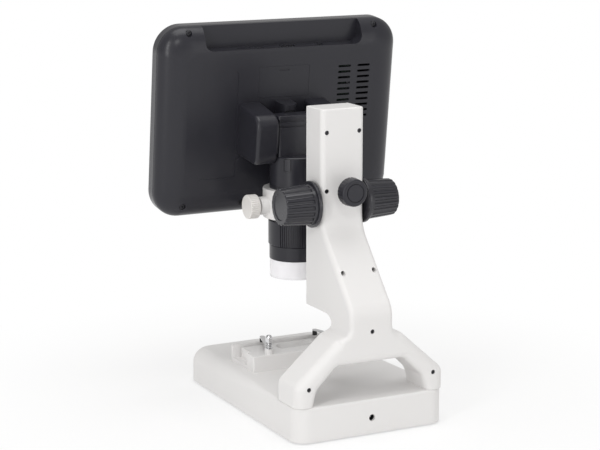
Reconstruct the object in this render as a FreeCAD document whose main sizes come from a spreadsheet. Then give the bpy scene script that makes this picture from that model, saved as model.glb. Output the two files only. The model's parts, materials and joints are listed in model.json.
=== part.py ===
import FreeCAD, Part
import Sketcher
import math
import os
import re

# Digital microscope with a tilting display on a rack and pinion stand.
# Origin: centre of the base's footprint, on the ground. +Z is up, -Y faces the user, +X is the
# user's right seen from behind. Millimetres.

# Driving dimensions: name, value, meaning.
SIZES = [
    ("base_width", 150, "base, across"),
    ("base_length", 240, "base, front to back"),
    ("base_height", 33, "top of the base over the ground"),
    ("ground_gap", 1.5, "height of the rubber feet under the base shell"),
    ("base_wall", 2.5, "wall of the base shell"),
    ("base_corner", 14, "rear corners of the base, in plan"),
    ("base_front_corner", 22, "front corners of the base, in plan"),
    ("shoulder_rear", 2, "rounding of the base's top edge at the rear"),
    ("shoulder_front", 14, "rounding of the base's top edge at the nose"),
    ("base_rib", 2.5, "ribs under the base's top, height"),
    ("cover_plate", 2.5, "bottom cover, thickness"),
    ("fit_gap", 0.25, "gap round a part that drops into another"),
    ("foot_pad_radius", 8, "rubber foot"),
    ("foot_pad_inset", 22, "rubber foot, from the base's sides"),
    ("screw_shank", 1.5, "self-tapping screw, shank radius"),
    ("screw_head", 2.7, "self-tapping screw, head radius"),
    ("screw_head_height", 2, "self-tapping screw, head height"),
    ("screw_play", 0.1, "gap round a screw"),
    ("press_gap", 0.02, "gap round a pressed or glued pin"),
    ("board_sheet", 1.6, "circuit boards, thickness"),
    ("boss_radius", 4, "screw boss"),
    ("inlet_radius", 2.75, "bore of the power inlet"),
    ("inlet_height", 16, "power inlet over the ground"),
    ("inlet_depth", 10, "depth of the power inlet's bore"),
    ("column_width", 42.7, "column, across"),
    ("column_back", 63.4, "column's rear face, from the origin"),
    ("column_depth", 30, "column, front to back"),
    ("column_height", 285, "top of the column over the ground"),
    ("column_wall", 3, "wall of the column"),
    ("column_foot", 103, "underside of the column's overhang"),
    ("cavity_floor", 112, "bottom of the column's cavity"),
    ("cap_height", 9.5, "column's top cap"),
    ("cap_plug", 6, "part of the cap that goes into the column"),
    ("arch_depth", 36, "legs of the arch, front to back"),
    ("arch_crown", 66, "underside of the arch over the ground"),
    ("leg_width", 18, "foot of each leg, across"),
    ("leg_top", 51.5, "height of each leg's outer shoulder"),
    ("arch_shoulder", 88.5, "height where the legs leave the column"),
    ("arch_waist", 33, "half width where the legs leave the column"),
    ("column_rounding", 4.5, "rounding of the column's rear edges"),
    ("leg_rounding", 9, "rounding of the legs' outer rear edges"),
    ("arch_rounding", 6.5, "rounding of the arch's inner rear edges"),
    ("cap_screw_level", 264, "screws of the top cap over the ground"),
    ("frame_screw_level", 211.5, "screws of the shaft frame over the ground"),
    ("slope_screw_x", 15.5, "screws in the sloping back, from the middle"),
    ("slope_screw_level", 143, "screws in the sloping back over the ground"),
    ("neck_screw_level", 94.5, "screw over the arch, over the ground"),
    ("insert_radius", 4.58, "brass insert of the lock screw, outside"),
    ("back_upper", 177.5, "height where the column's back starts to slope"),
    ("back_lower", 113.5, "height where the sloping back ends"),
    ("axis_y", -30, "optical axis, from the origin"),
    ("stage_width", 116, "stage, across"),
    ("stage_length", 50, "stage, front to back"),
    ("stage_height", 15, "stage, over the base"),
    ("stage_floor", 3, "floor of the stage's end notches"),
    ("stage_lip", 4, "front wall of the stage"),
    ("slide_width", 28.5, "slide channel, front to back"),
    ("slide_depth", 2.5, "slide channel, below the stage's top"),
    ("notch_depth", 8, "end notches of the stage"),
    ("groove_width", 2.5, "groove along the stage's front wall"),
    ("window_width", 38, "light window"),
    ("window_length", 22, "light window, front to back"),
    ("window_depth", 8, "light window, below the channel"),
    ("post_spacing", 80, "stage clip posts, apart"),
    ("post_radius", 2, "stage clip post"),
    ("collar_height", 5, "collar under each clip"),
    ("collar_radius", 4, "collar under each clip, radius"),
    ("clip_reach", 43, "stage clip, post to tip"),
    ("clip_width", 5, "stage clip"),
    ("clip_sheet", 0.8, "stage clip, thickness of the spring steel"),
    ("clip_turn", 17, "stage clip, angle towards the window"),
    ("spring_height", 5.5, "spring over each clip"),
    ("tube_radius", 24.7, "microscope tube"),
    ("tube_wall", 3, "microscope tube, wall"),
    ("tube_top", 230, "top of the tube"),
    ("tube_bottom", 168.8, "bottom of the tube's wide part"),
    ("tube_seam_drop", 28.5, "seam of the tube, below its top"),
    ("tab_turn", 45, "snap tab of the tube, degrees from the column's side"),
    ("tab_width", 7, "snap tab"),
    ("tab_height", 12, "snap tab, height"),
    ("neck_radius", 22.5, "neck that carries the focus ring"),
    ("focus_ring_radius", 25.9, "focus ring over its ribs"),
    ("focus_ring_height", 23, "focus ring"),
    ("ring_grooves", 26, "grooves in each half of the focus ring"),
    ("ring_grip_angle", 120, "span of the grooves in each half, degrees"),
    ("ring_groove_width", 1.1, "groove of the focus ring, width"),
    ("ring_groove_depth", 0.7, "groove of the focus ring, depth"),
    ("nose_height", 13.6, "smooth ring under the focus ring"),
    ("skirt_height", 17, "clear light skirt"),
    ("skirt_wall", 2, "clear light skirt, wall"),
    ("running_gap", 0.05, "radial clearance of turning and sliding fits"),
    ("barrel_radius", 18, "lens barrel"),
    ("barrel_height", 26, "lens barrel"),
    ("lens_radius", 14, "objective lens"),
    ("clamp_radius", 31, "clamp ring, outside"),
    ("clamp_height", 27.5, "clamp ring"),
    ("clamp_bottom", 171.5, "clamp ring's underside"),
    ("arm_width", 15, "arm of the clamp ring"),
    ("screw_level", 184, "thumb screw over the ground"),
    ("thumb_radius", 11.25, "thumb screw's head"),
    ("thumb_length", 10.5, "thumb screw's head, length"),
    ("thumb_start", 40.5, "thumb screw's head, from the optical axis"),
    ("thumb_ribs", 36, "ribs of the thumb screw"),
    ("shank_radius", 3, "thumb screw's and lock screw's shank"),
    ("drive_y", 50, "focus shaft, from the origin"),
    ("drive_level", 198.5, "focus shaft over the ground"),
    ("drive_radius", 3, "focus shaft"),
    ("gear_module", 0.8, "rack and pinion, module"),
    ("gear_teeth", 12, "pinion's teeth"),
    ("rack_teeth", 26, "rack's teeth"),
    ("gear_width", 7, "pinion's and rack's face"),
    ("gear_side", -8, "pinion, from the middle"),
    ("gear_backlash", 0.12, "play between the teeth"),
    ("carriage_width", 35, "carriage in the column"),
    ("carriage_depth", 6.4, "carriage, front to back"),
    ("carriage_low", 163, "carriage's lower end"),
    ("carriage_high", 237, "carriage's upper end"),
    ("rod_radius", 2.5, "guide rods"),
    ("rod_spacing", 28, "guide rods, apart"),
    ("rod_seat", 4, "depth of the guide rods' sockets"),
    ("small_shank", 1.2, "housing screw, shank radius"),
    ("small_head", 2, "housing screw, head radius"),
    ("bush_radius", 4.2, "brass bushes of the focus shaft, outside"),
    ("travel_up", 25, "focus travel, upwards"),
    ("travel_down", 30, "focus travel, downwards"),
    ("slot_width", 17, "slot in the column's front"),
    ("knob_gap", 2.2, "gap from the column to a focus knob"),
    ("knob_flange_radius", 21, "focus knob's flange"),
    ("knob_flange", 3.4, "focus knob's flange, thickness"),
    ("knob_base_radius", 18.6, "focus knob's grip at the flange"),
    ("knob_tip_radius", 16.6, "focus knob's grip at its end"),
    ("knob_length", 33, "focus knob"),
    ("knob_flutes", 20, "flutes of a focus knob"),
    ("lock_radius", 12.9, "lock knob"),
    ("lock_length", 10.5, "lock knob, length"),
    ("lock_flute_count", 24, "flutes of the lock knob"),
    ("lock_level", 212.5, "lock knob over the ground"),
    ("lock_standoff", 13, "lock knob, from the column"),
    ("pivot_level", 251, "display's pivot over the ground"),
    ("pin_radius", 4, "display's pivot pins"),
    ("tilt", 6.86, "display's lean, degrees"),
    ("head_width", 45, "camera head, across"),
    ("head_rear", 10, "camera head, behind its pivot"),
    ("head_front", 10.5, "camera head, before its pivot"),
    ("head_cap", 11, "camera head's cover, height"),
    ("head_top", 17, "camera head's top over the pivot"),
    ("panel_width", 245.6, "display, across"),
    ("panel_height", 181.4, "display, height"),
    ("panel_rise", 4.2, "display's middle over the pivot"),
    ("panel_front", 57.4, "display's front, before the pivot"),
    ("bezel_depth", 11, "bezel's edge"),
    ("seam", 0.6, "seam between the bezel and the rear shell"),
    ("panel_depth", 28, "display's thickness"),
    ("panel_corner", 25, "display's corners"),
    ("panel_wall", 2.5, "wall of the display's housing"),
    ("shell_inset", 25, "rear shell's rim, from its edge to the flat back"),
    ("cheek_outer", 45.4, "yoke's cheeks, outer faces from the middle"),
    ("cheek_inner", 23, "yoke's cheeks, inner faces from the middle"),
    ("cheek_rear", 13, "yoke's cheeks, behind the pivot"),
    ("cheek_top", 22.8, "yoke's cheeks, over the pivot"),
    ("cheek_bottom", 27.5, "yoke's cheeks, below the pivot"),
    ("post_half", 8, "half width of the yoke's middle post"),
    ("swing_gap", 0.6, "clearance round the swinging yoke"),
    ("bay_half", 81, "half width of the port bay"),
    ("bay_floor", 69, "port bay's ledge over the display's middle"),
    ("bay_depth", 14, "port bay's depth"),
    ("view_width", 217, "picture area"),
    ("view_height", 136, "picture area, height"),
    ("view_rise", 13, "picture area's middle over the display's"),
    ("glass_depth", 2.5, "cover glass"),
    ("picture_margin", 4, "picture panel, past the picture area"),
    ("picture_depth", 4, "picture panel, thickness"),
    ("picture_corner", 6, "picture panel's corners, clear of the bezel's"),
    ("key_pitch", 24, "keys, apart"),
    ("key_width", 12, "key"),
    ("key_height", 5, "key, height"),
    ("key_drop", 70, "keys below the display's middle"),
    ("key_travel", 0.8, "key's stroke"),
    ("battery_half", 26, "half width of the battery cover"),
    ("battery_low", 22, "battery cover's lower edge over the display's middle"),
    ("battery_high", 51.5, "battery cover's upper edge over the display's middle"),
    ("vent_rows", 10, "rows of vent slots"),
    ("vent_pitch", 5.5, "vent rows, apart"),
    ("vent_top", 48, "top vent row over the display's middle"),
    ("vent_length", 13.4, "vent slot"),
    ("vent_height", 2.2, "vent slot, height"),
    ("vent_inner", 57, "vents' inner edge from the middle"),
    ("vent_column", 20.5, "vent columns, apart"),
]

# Places that follow from the driving dimensions.
FORMULAS = {
    "base_rear": "base_length / 2",
    "base_half": "base_width / 2",
    "column_front": "column_back - column_depth",
    "column_half": "column_width / 2",
    "arch_rear": "base_rear - 0.5",
    "arch_front": "arch_rear - arch_depth",
    "leg_half": "base_half - 0.5",
    "cavity_rear": "column_back - column_wall",
    "cavity_half": "column_half - column_wall",
    "shoulder_level": "column_height - cap_height",
    "stage_top": "base_height + stage_height",
    "stage_rear": "axis_y + stage_length / 2 + 3",
    "stage_front": "stage_rear - stage_length",
    "channel_level": "stage_top - slide_depth",
    "channel_front": "stage_front + stage_lip",
    "channel_rear": "channel_front + groove_width + slide_width",
    "window_middle": "(channel_front + groove_width + channel_rear) / 2",
    "post_y": "stage_rear - 4.5",
    "collar_top": "stage_top + collar_height",
    "ring_bottom": "tube_bottom - 0.3 - focus_ring_height",
    "nose_top": "ring_bottom - 0.3",
    "nose_bottom": "nose_top - nose_height",
    "skirt_bottom": "nose_bottom - skirt_height",
    "clamp_top": "clamp_bottom + clamp_height",
    "pitch_radius": "gear_module * gear_teeth / 2",
    "pitch_line": "drive_y - pitch_radius",
    "carriage_back": "pitch_line - 1.25 * gear_module",
    "carriage_front": "carriage_back - carriage_depth",
    "rack_front": "carriage_back - 1.6",
    "rack_pitch": "pi * gear_module",
    "rod_y": "carriage_front + carriage_depth / 2",
    "knob_start": "column_half + knob_gap",
    "knob_end": "knob_start + knob_length",
    "panel_back": "panel_depth - panel_front",
    "shell_front": "bezel_depth + seam - panel_front",
    "bezel_back": "bezel_depth - panel_front",
    "panel_low": "panel_rise - panel_height / 2",
    "panel_high": "panel_rise + panel_height / 2",
    "panel_half": "panel_width / 2",
    "bay_level": "panel_rise + bay_floor",
    "bay_wall": "panel_back - bay_depth",
    "view_middle": "panel_rise + view_rise",
    "key_level": "panel_rise - key_drop",
    "swing_radius": "pivot_level - tube_top - swing_gap",
    "head_reach": "sqrt(head_top ^ 2 + head_front ^ 2) + 0.8",
    "rod_x": "rod_spacing / 2",
    "housing_screw_x": "column_half - 5.1",
    "base_ceiling": "base_height - base_wall - base_rib",
    "lamp_level": "base_ceiling - board_sheet",
    "rack_low": "drive_level - (rack_teeth / 2 + 0.2) * rack_pitch",
    "rack_high": "drive_level + (rack_teeth / 2 + 0.2) * rack_pitch",
    "port_line": "(bay_wall + panel_back) / 2",
    "board_back": "shell_front + 0.5",
}

doc = FreeCAD.newDocument("DigitalMicroscope")
sheet = doc.addObject("Spreadsheet::Sheet", "Sizes")
for row, (alias, value, meaning) in enumerate(SIZES, 1):
    sheet.set("A%d" % row, meaning)
    sheet.set("B%d" % row, str(value))
    sheet.setAlias("B%d" % row, alias)
doc.recompute()
ALIASES = {alias for alias, value, meaning in SIZES}
WORD = re.compile(r"[A-Za-z_]\w*")
NODES = []


def full(expression):
    """Write an expression so that every size in it points at its cell in the sheet."""
    def name(match):
        word = match.group(0)
        if word in FORMULAS:
            return "(" + full(FORMULAS[word]) + ")"
        if word in ALIASES:
            return "Sizes." + word
        return word
    return WORD.sub(name, str(expression))


def num(expression):
    """Work an expression out in millimetres or degrees."""
    return float(sheet.evalExpression(full(expression)))


# Sketches. A corner is (x, y) or (x, y, radius), written as expressions.

def box(x_low, y_low, x_high, y_high, radius=None):
    """The four corners of an upright rectangle."""
    corners = [(x_low, y_low), (x_high, y_low), (x_high, y_high), (x_low, y_high)]
    if radius is None:
        return corners
    return [corner + (radius,) for corner in corners]


def mirrored(corners):
    """An outline that goes on as its own mirror image about x = 0."""
    back = [("-(%s)" % corner[0],) + corner[1:] for corner in reversed(corners)]
    return corners + back


def pin_point(sketch, geometry, position, x, y):
    """Hold a point of the sketch at two expressions."""
    for kind, expression in (("DistanceX", x), ("DistanceY", y)):
        held = Sketcher.Constraint(kind, -1, 1, geometry, position, num(expression))
        index = sketch.addConstraint(held)
        sketch.setExpression("Constraints[%d]" % index, full(expression))


def add_circle(sketch, x, y, radius):
    """A circle whose centre and radius are held by expressions."""
    centre = FreeCAD.Vector(num(x), num(y), 0)
    up = FreeCAD.Vector(0, 0, 1)
    index = sketch.addGeometry(Part.Circle(centre, up, num(radius)), False)
    pin_point(sketch, index, 3, x, y)
    held = sketch.addConstraint(Sketcher.Constraint("Radius", index, num(radius)))
    sketch.setExpression("Constraints[%d]" % held, full(radius))


def add_outline(sketch, corners):
    """A closed outline of straight lines, with a tangent arc at each corner that has a radius."""
    count = len(corners)
    spots = [FreeCAD.Vector(num(corner[0]), num(corner[1]), 0) for corner in corners]
    starts = []
    ends = []
    arcs = []
    for index, corner in enumerate(corners):
        spot = spots[index]
        if len(corner) == 2:
            starts.append(spot)
            ends.append(spot)
            arcs.append(None)
            continue
        radius = num(corner[2])
        before = (spots[index - 1] - spot).normalize()
        after = (spots[(index + 1) % count] - spot).normalize()
        half = before.getAngle(after) / 2
        setback = radius / math.tan(half)
        middle = spot + (before + after).normalize() * (radius / math.sin(half))
        first = spot + before * setback
        last = spot + after * setback
        anticlockwise = before.cross(after).z < 0
        ends.append(first)
        starts.append(last)
        arcs.append((middle, radius, first, last, anticlockwise))
    lines = []
    for index in range(count):
        line = Part.LineSegment(starts[index], ends[(index + 1) % count])
        lines.append(sketch.addGeometry(line, False))
    for index, corner in enumerate(corners):
        before = lines[index - 1]
        after = lines[index]
        if arcs[index] is None:
            sketch.addConstraint(Sketcher.Constraint("Coincident", before, 2, after, 1))
            pin_point(sketch, after, 1, corner[0], corner[1])
            continue
        middle, radius, first, last, anticlockwise = arcs[index]
        begin = math.atan2(first.y - middle.y, first.x - middle.x)
        finish = math.atan2(last.y - middle.y, last.x - middle.x)
        if not anticlockwise:
            begin, finish = finish, begin
        circle = Part.Circle(middle, FreeCAD.Vector(0, 0, 1), radius)
        arc = sketch.addGeometry(Part.ArcOfCircle(circle, begin, finish), False)
        near, far = (1, 2) if anticlockwise else (2, 1)
        mark = sketch.addGeometry(Part.Point(spots[index]), True)
        pin_point(sketch, mark, 1, corner[0], corner[1])
        sketch.addConstraint(Sketcher.Constraint("PointOnObject", mark, 1, before))
        sketch.addConstraint(Sketcher.Constraint("PointOnObject", mark, 1, after))
        sketch.addConstraint(Sketcher.Constraint("Tangent", before, 2, arc, near))
        sketch.addConstraint(Sketcher.Constraint("Tangent", arc, far, after, 1))
        held = sketch.addConstraint(Sketcher.Constraint("Radius", arc, radius))
        sketch.setExpression("Constraints[%d]" % held, full(corner[2]))


def draw(body, name, plane, level, loops):
    """A sketch on one of the body's own planes, moved along that plane's normal to a level."""
    sketch = body.newObject("Sketcher::SketchObject", name)
    origin = [item for item in body.Origin.OriginFeatures if item.Role == plane + "_Plane"][0]
    sketch.AttachmentSupport = [(origin, "")]
    sketch.MapMode = "FlatFace"
    offset = "-(%s)" % full(level) if plane == "XZ" else full(level)
    sketch.setExpression("AttachmentOffset.Base.z", offset)
    for loop in loops:
        if isinstance(loop, tuple):
            add_circle(sketch, *loop)
        else:
            add_outline(sketch, loop)
    doc.recompute()
    return sketch


# Features. Low and high are places along the sketch plane's axis.

def pad(body, name, plane, low, high, loops):
    """Add material between two places."""
    level = high if plane == "XZ" else low
    feature = body.newObject("PartDesign::Pad", name)
    feature.Profile = draw(body, name + "_sketch", plane, level, loops)
    feature.setExpression("Length", full("(%s) - (%s)" % (high, low)))
    body.Tip = feature
    doc.recompute()
    return feature


def pocket(body, name, plane, low, high, loops):
    """Remove material between two places, and check that some went."""
    before = body.Shape.Volume
    level = low if plane == "XZ" else high
    feature = body.newObject("PartDesign::Pocket", name)
    feature.Profile = draw(body, name + "_sketch", plane, level, loops)
    feature.setExpression("Length", full("(%s) - (%s)" % (high, low)))
    body.Tip = feature
    doc.recompute()
    if body.Shape.Volume >= before:
        raise RuntimeError(name + " removed nothing")
    return feature


def turn(body, name, kind, plane, level, corners, axis):
    """Revolve an outline about the sketch's own H_Axis or V_Axis: an added or a cut form."""
    feature = body.newObject("PartDesign::" + kind, name)
    sketch = draw(body, name + "_sketch", plane, level, [corners])
    feature.Profile = sketch
    feature.ReferenceAxis = (sketch, [axis])
    feature.Angle = 360
    body.Tip = feature
    doc.recompute()
    return feature


def around(body, name, feature, axis, count, span="360"):
    """Repeat a feature about one of the body's own axes, over the whole turn or a span."""
    pattern = body.newObject("PartDesign::PolarPattern", name)
    pattern.Originals = [feature]
    line = [item for item in body.Origin.OriginFeatures if item.Role == axis + "_Axis"][0]
    pattern.Axis = (line, [""])
    pattern.setExpression("Angle", full(span))
    pattern.setExpression("Occurrences", full(count))
    body.Tip = pattern
    doc.recompute()
    if "Invalid" in pattern.State:
        raise RuntimeError(name + " could not be repeated")
    return pattern


def along(body, name, feature, axis, pitch, count):
    """Repeat a feature in a row along one of the body's own axes."""
    pattern = body.newObject("PartDesign::LinearPattern", name)
    pattern.Originals = [feature]
    line = [item for item in body.Origin.OriginFeatures if item.Role == axis + "_Axis"][0]
    pattern.Direction = (line, [""])
    pattern.Mode = "Spacing"
    pattern.setExpression("Offset", full(pitch))
    pattern.setExpression("Occurrences", full(count))
    body.Tip = pattern
    doc.recompute()
    if "Invalid" in pattern.State:
        raise RuntimeError(name + " could not be repeated")
    return pattern


def edges_at(body, **places):
    """Names of the edges that lie at the given places, either side of the middle."""
    names = []
    for number, edge in enumerate(body.Tip.Shape.Edges, 1):
        ends = [edge.FirstParameter, edge.LastParameter]
        points = [edge.valueAt(ends[0]), edge.valueAt(sum(ends) / 2), edge.valueAt(ends[1])]
        fits = all(abs(abs(getattr(point, axis)) - abs(num(place))) < 0.01
                   for axis, place in places.items() for point in points)
        if fits:
            names.append("Edge%d" % number)
    return names


def round_edges(body, name, radius, names):
    """Round the named edges."""
    base = body.Tip
    feature = body.newObject("PartDesign::Fillet", name)
    feature.Base = (base, names)
    feature.setExpression("Radius", full(radius))
    body.Tip = feature
    doc.recompute()
    if not names or "Invalid" in feature.State:
        raise RuntimeError(name + " could not round " + ", ".join(names))
    return feature


def bevel_edges(body, name, size, names):
    """Bevel the named edges."""
    base = body.Tip
    feature = body.newObject("PartDesign::Chamfer", name)
    feature.Base = (base, names)
    feature.setExpression("Size", full(size))
    body.Tip = feature
    doc.recompute()
    if not names or "Invalid" in feature.State:
        raise RuntimeError(name + " could not bevel " + ", ".join(names))
    return feature


def new_part(label):
    """A named sub-part in the stand's own frame."""
    body = doc.addObject("PartDesign::Body", label)
    body.Label = label
    NODES.append(body)
    return body


def place(body, x, y, z, axis=(0, 0, 1), angle="0"):
    """Put a sub-part's own origin at a place in the stand's frame, turned about an axis."""
    spin = FreeCAD.Rotation(FreeCAD.Vector(*axis), num(angle))
    body.Placement = FreeCAD.Placement(FreeCAD.Vector(num(x), num(y), num(z)), spin)
    body.setExpression("Placement.Base.x", full(x))
    body.setExpression("Placement.Base.y", full(y))
    body.setExpression("Placement.Base.z", full(z))
    if angle != "0":
        body.setExpression("Placement.Rotation.Angle", full(angle))
    doc.recompute()


def on_panel(body):
    """Put a sub-part of the display on its pivot, leaning back."""
    place(body, "0", "axis_y", "pivot_level", (-1, 0, 0), "tilt")


def pair(x, y, radius):
    """A circle and its mirror image about x = 0, or one circle in the middle."""
    if x == "0":
        return [(x, y, radius)]
    return [(x, y, radius), ("-(%s)" % x, y, radius)]


def four(x, y, radius):
    """Circles at the four corners of a rectangle about the middle in x."""
    return pair(x, y[0], radius) + pair(x, y[1], radius)


# Base

BASE_SCREWS = ("base_rear - 14", "14 - base_rear")
BASE_SCREW_X = "base_half - 12"
PAD_PLACES = ("base_rear - foot_pad_inset - 6", "foot_pad_inset + 6 - base_rear")
PAD_X = "base_half - foot_pad_inset"


def stage_screws(radius):
    """The four screws that hold the stage from inside the base."""
    return four("stage_width / 2 - 14", ("post_y - 3", "window_middle - 9"), radius)


def base_outline(inset):
    """The base's plan, drawn in by an inset."""
    half = "(base_half - %s)" % inset
    rear = "(base_rear - %s)" % inset
    front_corner = "base_front_corner - %s" % inset
    rear_corner = "base_corner - %s" % inset
    return [("-" + half, "-" + rear, front_corner), (half, "-" + rear, front_corner),
            (half, rear, rear_corner), ("-" + half, rear, rear_corner)]


def graded_rounding(name, blank, radius_at):
    """Round a blank's edges with a radius that follows the place along each edge."""
    rounded = doc.addObject("Part::Fillet", name)
    rounded.Base = blank
    chosen = []
    for number, edge in enumerate(blank.Shape.Edges, 1):
        first = edge.valueAt(edge.FirstParameter)
        last = edge.valueAt(edge.LastParameter)
        radii = radius_at(edge, first, last)
        if radii:
            chosen.append((number, radii[0], radii[1]))
    rounded.Edges = chosen
    doc.recompute()
    return rounded


def make_base_shell():
    """Moulded base: crisp at the rear under the arch, with shoulders that grow to a round nose."""
    blank = doc.addObject("PartDesign::Body", "base_blank")
    pad(blank, "base_block", "XY", "ground_gap", "base_height", [base_outline("0")])
    rear = num("shoulder_rear")
    nose = num("shoulder_front")
    side = num("base_half")

    def shoulder(edge, first, last):
        if min(first.z, last.z) < num("base_height") - 0.01:
            return None
        on_side = abs(abs(first.x) - side) < 0.01 and abs(abs(last.x) - side) < 0.01
        if on_side and abs(first.y - last.y) > side:
            return (rear, nose) if first.y > 0 else (nose, rear)
        return (rear, rear) if first.y > 0 else (nose, nose)

    body = new_part("base_shell")
    body.BaseFeature = graded_rounding("base_rounded", blank, shoulder)
    doc.recompute()
    cut = [base_outline("base_wall")]
    pocket(body, "base_hollow", "XY", "ground_gap", "base_height - shoulder_front", cut)
    deep = [base_outline("(base_wall + 5)")]
    pocket(body, "base_hollow_top", "XY", "base_height - shoulder_front",
           "base_ceiling", deep)
    pocket(body, "base_stage_holes", "XY", "base_ceiling", "base_height",
           stage_screws("screw_shank + screw_play"))
    screws = four(BASE_SCREW_X, BASE_SCREWS, "boss_radius")
    pad(body, "base_bosses", "XY", "ground_gap + cover_plate", "base_height - 4", screws)
    pilots = four(BASE_SCREW_X, BASE_SCREWS, "screw_shank + screw_play")
    pocket(body, "base_pilots", "XY", "ground_gap + cover_plate", "base_height - 12", pilots)
    inlet = [("0", "inlet_height", "inlet_radius + 0.3")]
    pocket(body, "base_inlet_hole", "XZ", "base_rear - base_wall - 6", "base_rear + 1", inlet)
    seat = [box("-4.75", "inlet_height - 5.25", "4.75", "inlet_height + 4.75", "1.2")]
    pocket(body, "base_inlet_seat", "XZ", "base_rear - base_wall - inlet_depth - 4",
           "base_rear - base_wall", seat)
    light = [("0", "window_middle", "window_length / 2 - 1")]
    pocket(body, "base_light_hole", "XY", "base_height - base_wall - 4", "base_height + 1", light)


def make_base_underside():
    """Bottom cover with its rubber feet and screws."""
    cover = new_part("bottom_cover")
    pad(cover, "cover_sheet", "XY", "ground_gap", "ground_gap + cover_plate",
        [base_outline("(base_wall + fit_gap)")])
    holes = four(BASE_SCREW_X, BASE_SCREWS, "screw_shank + screw_play")
    pocket(cover, "cover_screw_holes", "XY", "ground_gap", "ground_gap + cover_plate", holes)
    sinks = four(BASE_SCREW_X, BASE_SCREWS, "screw_head + screw_play")
    pocket(cover, "cover_sinks", "XY", "ground_gap", "ground_gap + 1", sinks)
    seats = four(PAD_X, PAD_PLACES, "foot_pad_radius + screw_play")
    pocket(cover, "cover_seats", "XY", "ground_gap", "ground_gap + 1", seats)
    feet = new_part("rubber_feet")
    pads = four(PAD_X, PAD_PLACES, "foot_pad_radius")
    pad(feet, "feet_pads", "XY", "0", "ground_gap + 1", pads)
    bevel_edges(feet, "feet_bevel", "0.5", edges_at(feet, z="0"))
    screws = new_part("base_screws")
    heads = four(BASE_SCREW_X, BASE_SCREWS, "screw_head")
    pad(screws, "base_screw_heads", "XY", "ground_gap - 0.9", "ground_gap + 1", heads)
    shanks = four(BASE_SCREW_X, BASE_SCREWS, "screw_shank")
    pad(screws, "base_screw_shanks", "XY", "ground_gap + 1", "base_height - 14", shanks)
    pad(screws, "stage_screw_heads", "XY", "base_ceiling - screw_head_height", "base_ceiling",
        stage_screws("screw_head"))
    pad(screws, "stage_screw_shanks", "XY", "base_ceiling", "base_height + 8",
        stage_screws("screw_shank"))


def make_base_inside():
    """Power inlet at the rear and the lamp board under the stage."""
    inlet = new_part("power_inlet")
    low = "base_rear - base_wall - inlet_depth - 3"
    pad(inlet, "inlet_block", "XZ", low, "base_rear - base_wall",
        [box("-4.5", "inlet_height - 5", "4.5", "inlet_height + 4.5", "1")])
    bore = [("0", "inlet_height", "inlet_radius")]
    pocket(inlet, "inlet_bore", "XZ", "base_rear - base_wall - inlet_depth",
           "base_rear - base_wall", bore)
    board = new_part("lamp_board")
    pad(board, "board_sheet", "XY", "lamp_level", "lamp_level + board_sheet",
        [box("-30", "window_middle - 18", "30", "window_middle + 18", "2")])
    lamp = new_part("stage_lamp")
    pad(lamp, "lamp_body", "XY", "lamp_level + board_sheet", "lamp_level + 6",
        [("0", "window_middle", "3")])
    round_edges(lamp, "lamp_dome", "2.5", edges_at(lamp, z="lamp_level + 6"))


# Column and arch

def edges_where(body, test):
    """Names of the edges whose two faces' normals and middle point pass a test."""
    names = []
    shape = body.Tip.Shape
    for number, edge in enumerate(shape.Edges, 1):
        spot = edge.valueAt((edge.FirstParameter + edge.LastParameter) / 2)
        sides = shape.ancestorsOfType(edge, Part.Face)
        if len(sides) != 2:
            continue
        normals = [side.normalAt(*side.Surface.parameter(spot)) for side in sides]
        if test(normals[0], normals[1], spot) or test(normals[1], normals[0], spot):
            names.append("Edge%d" % number)
    return names


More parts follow.
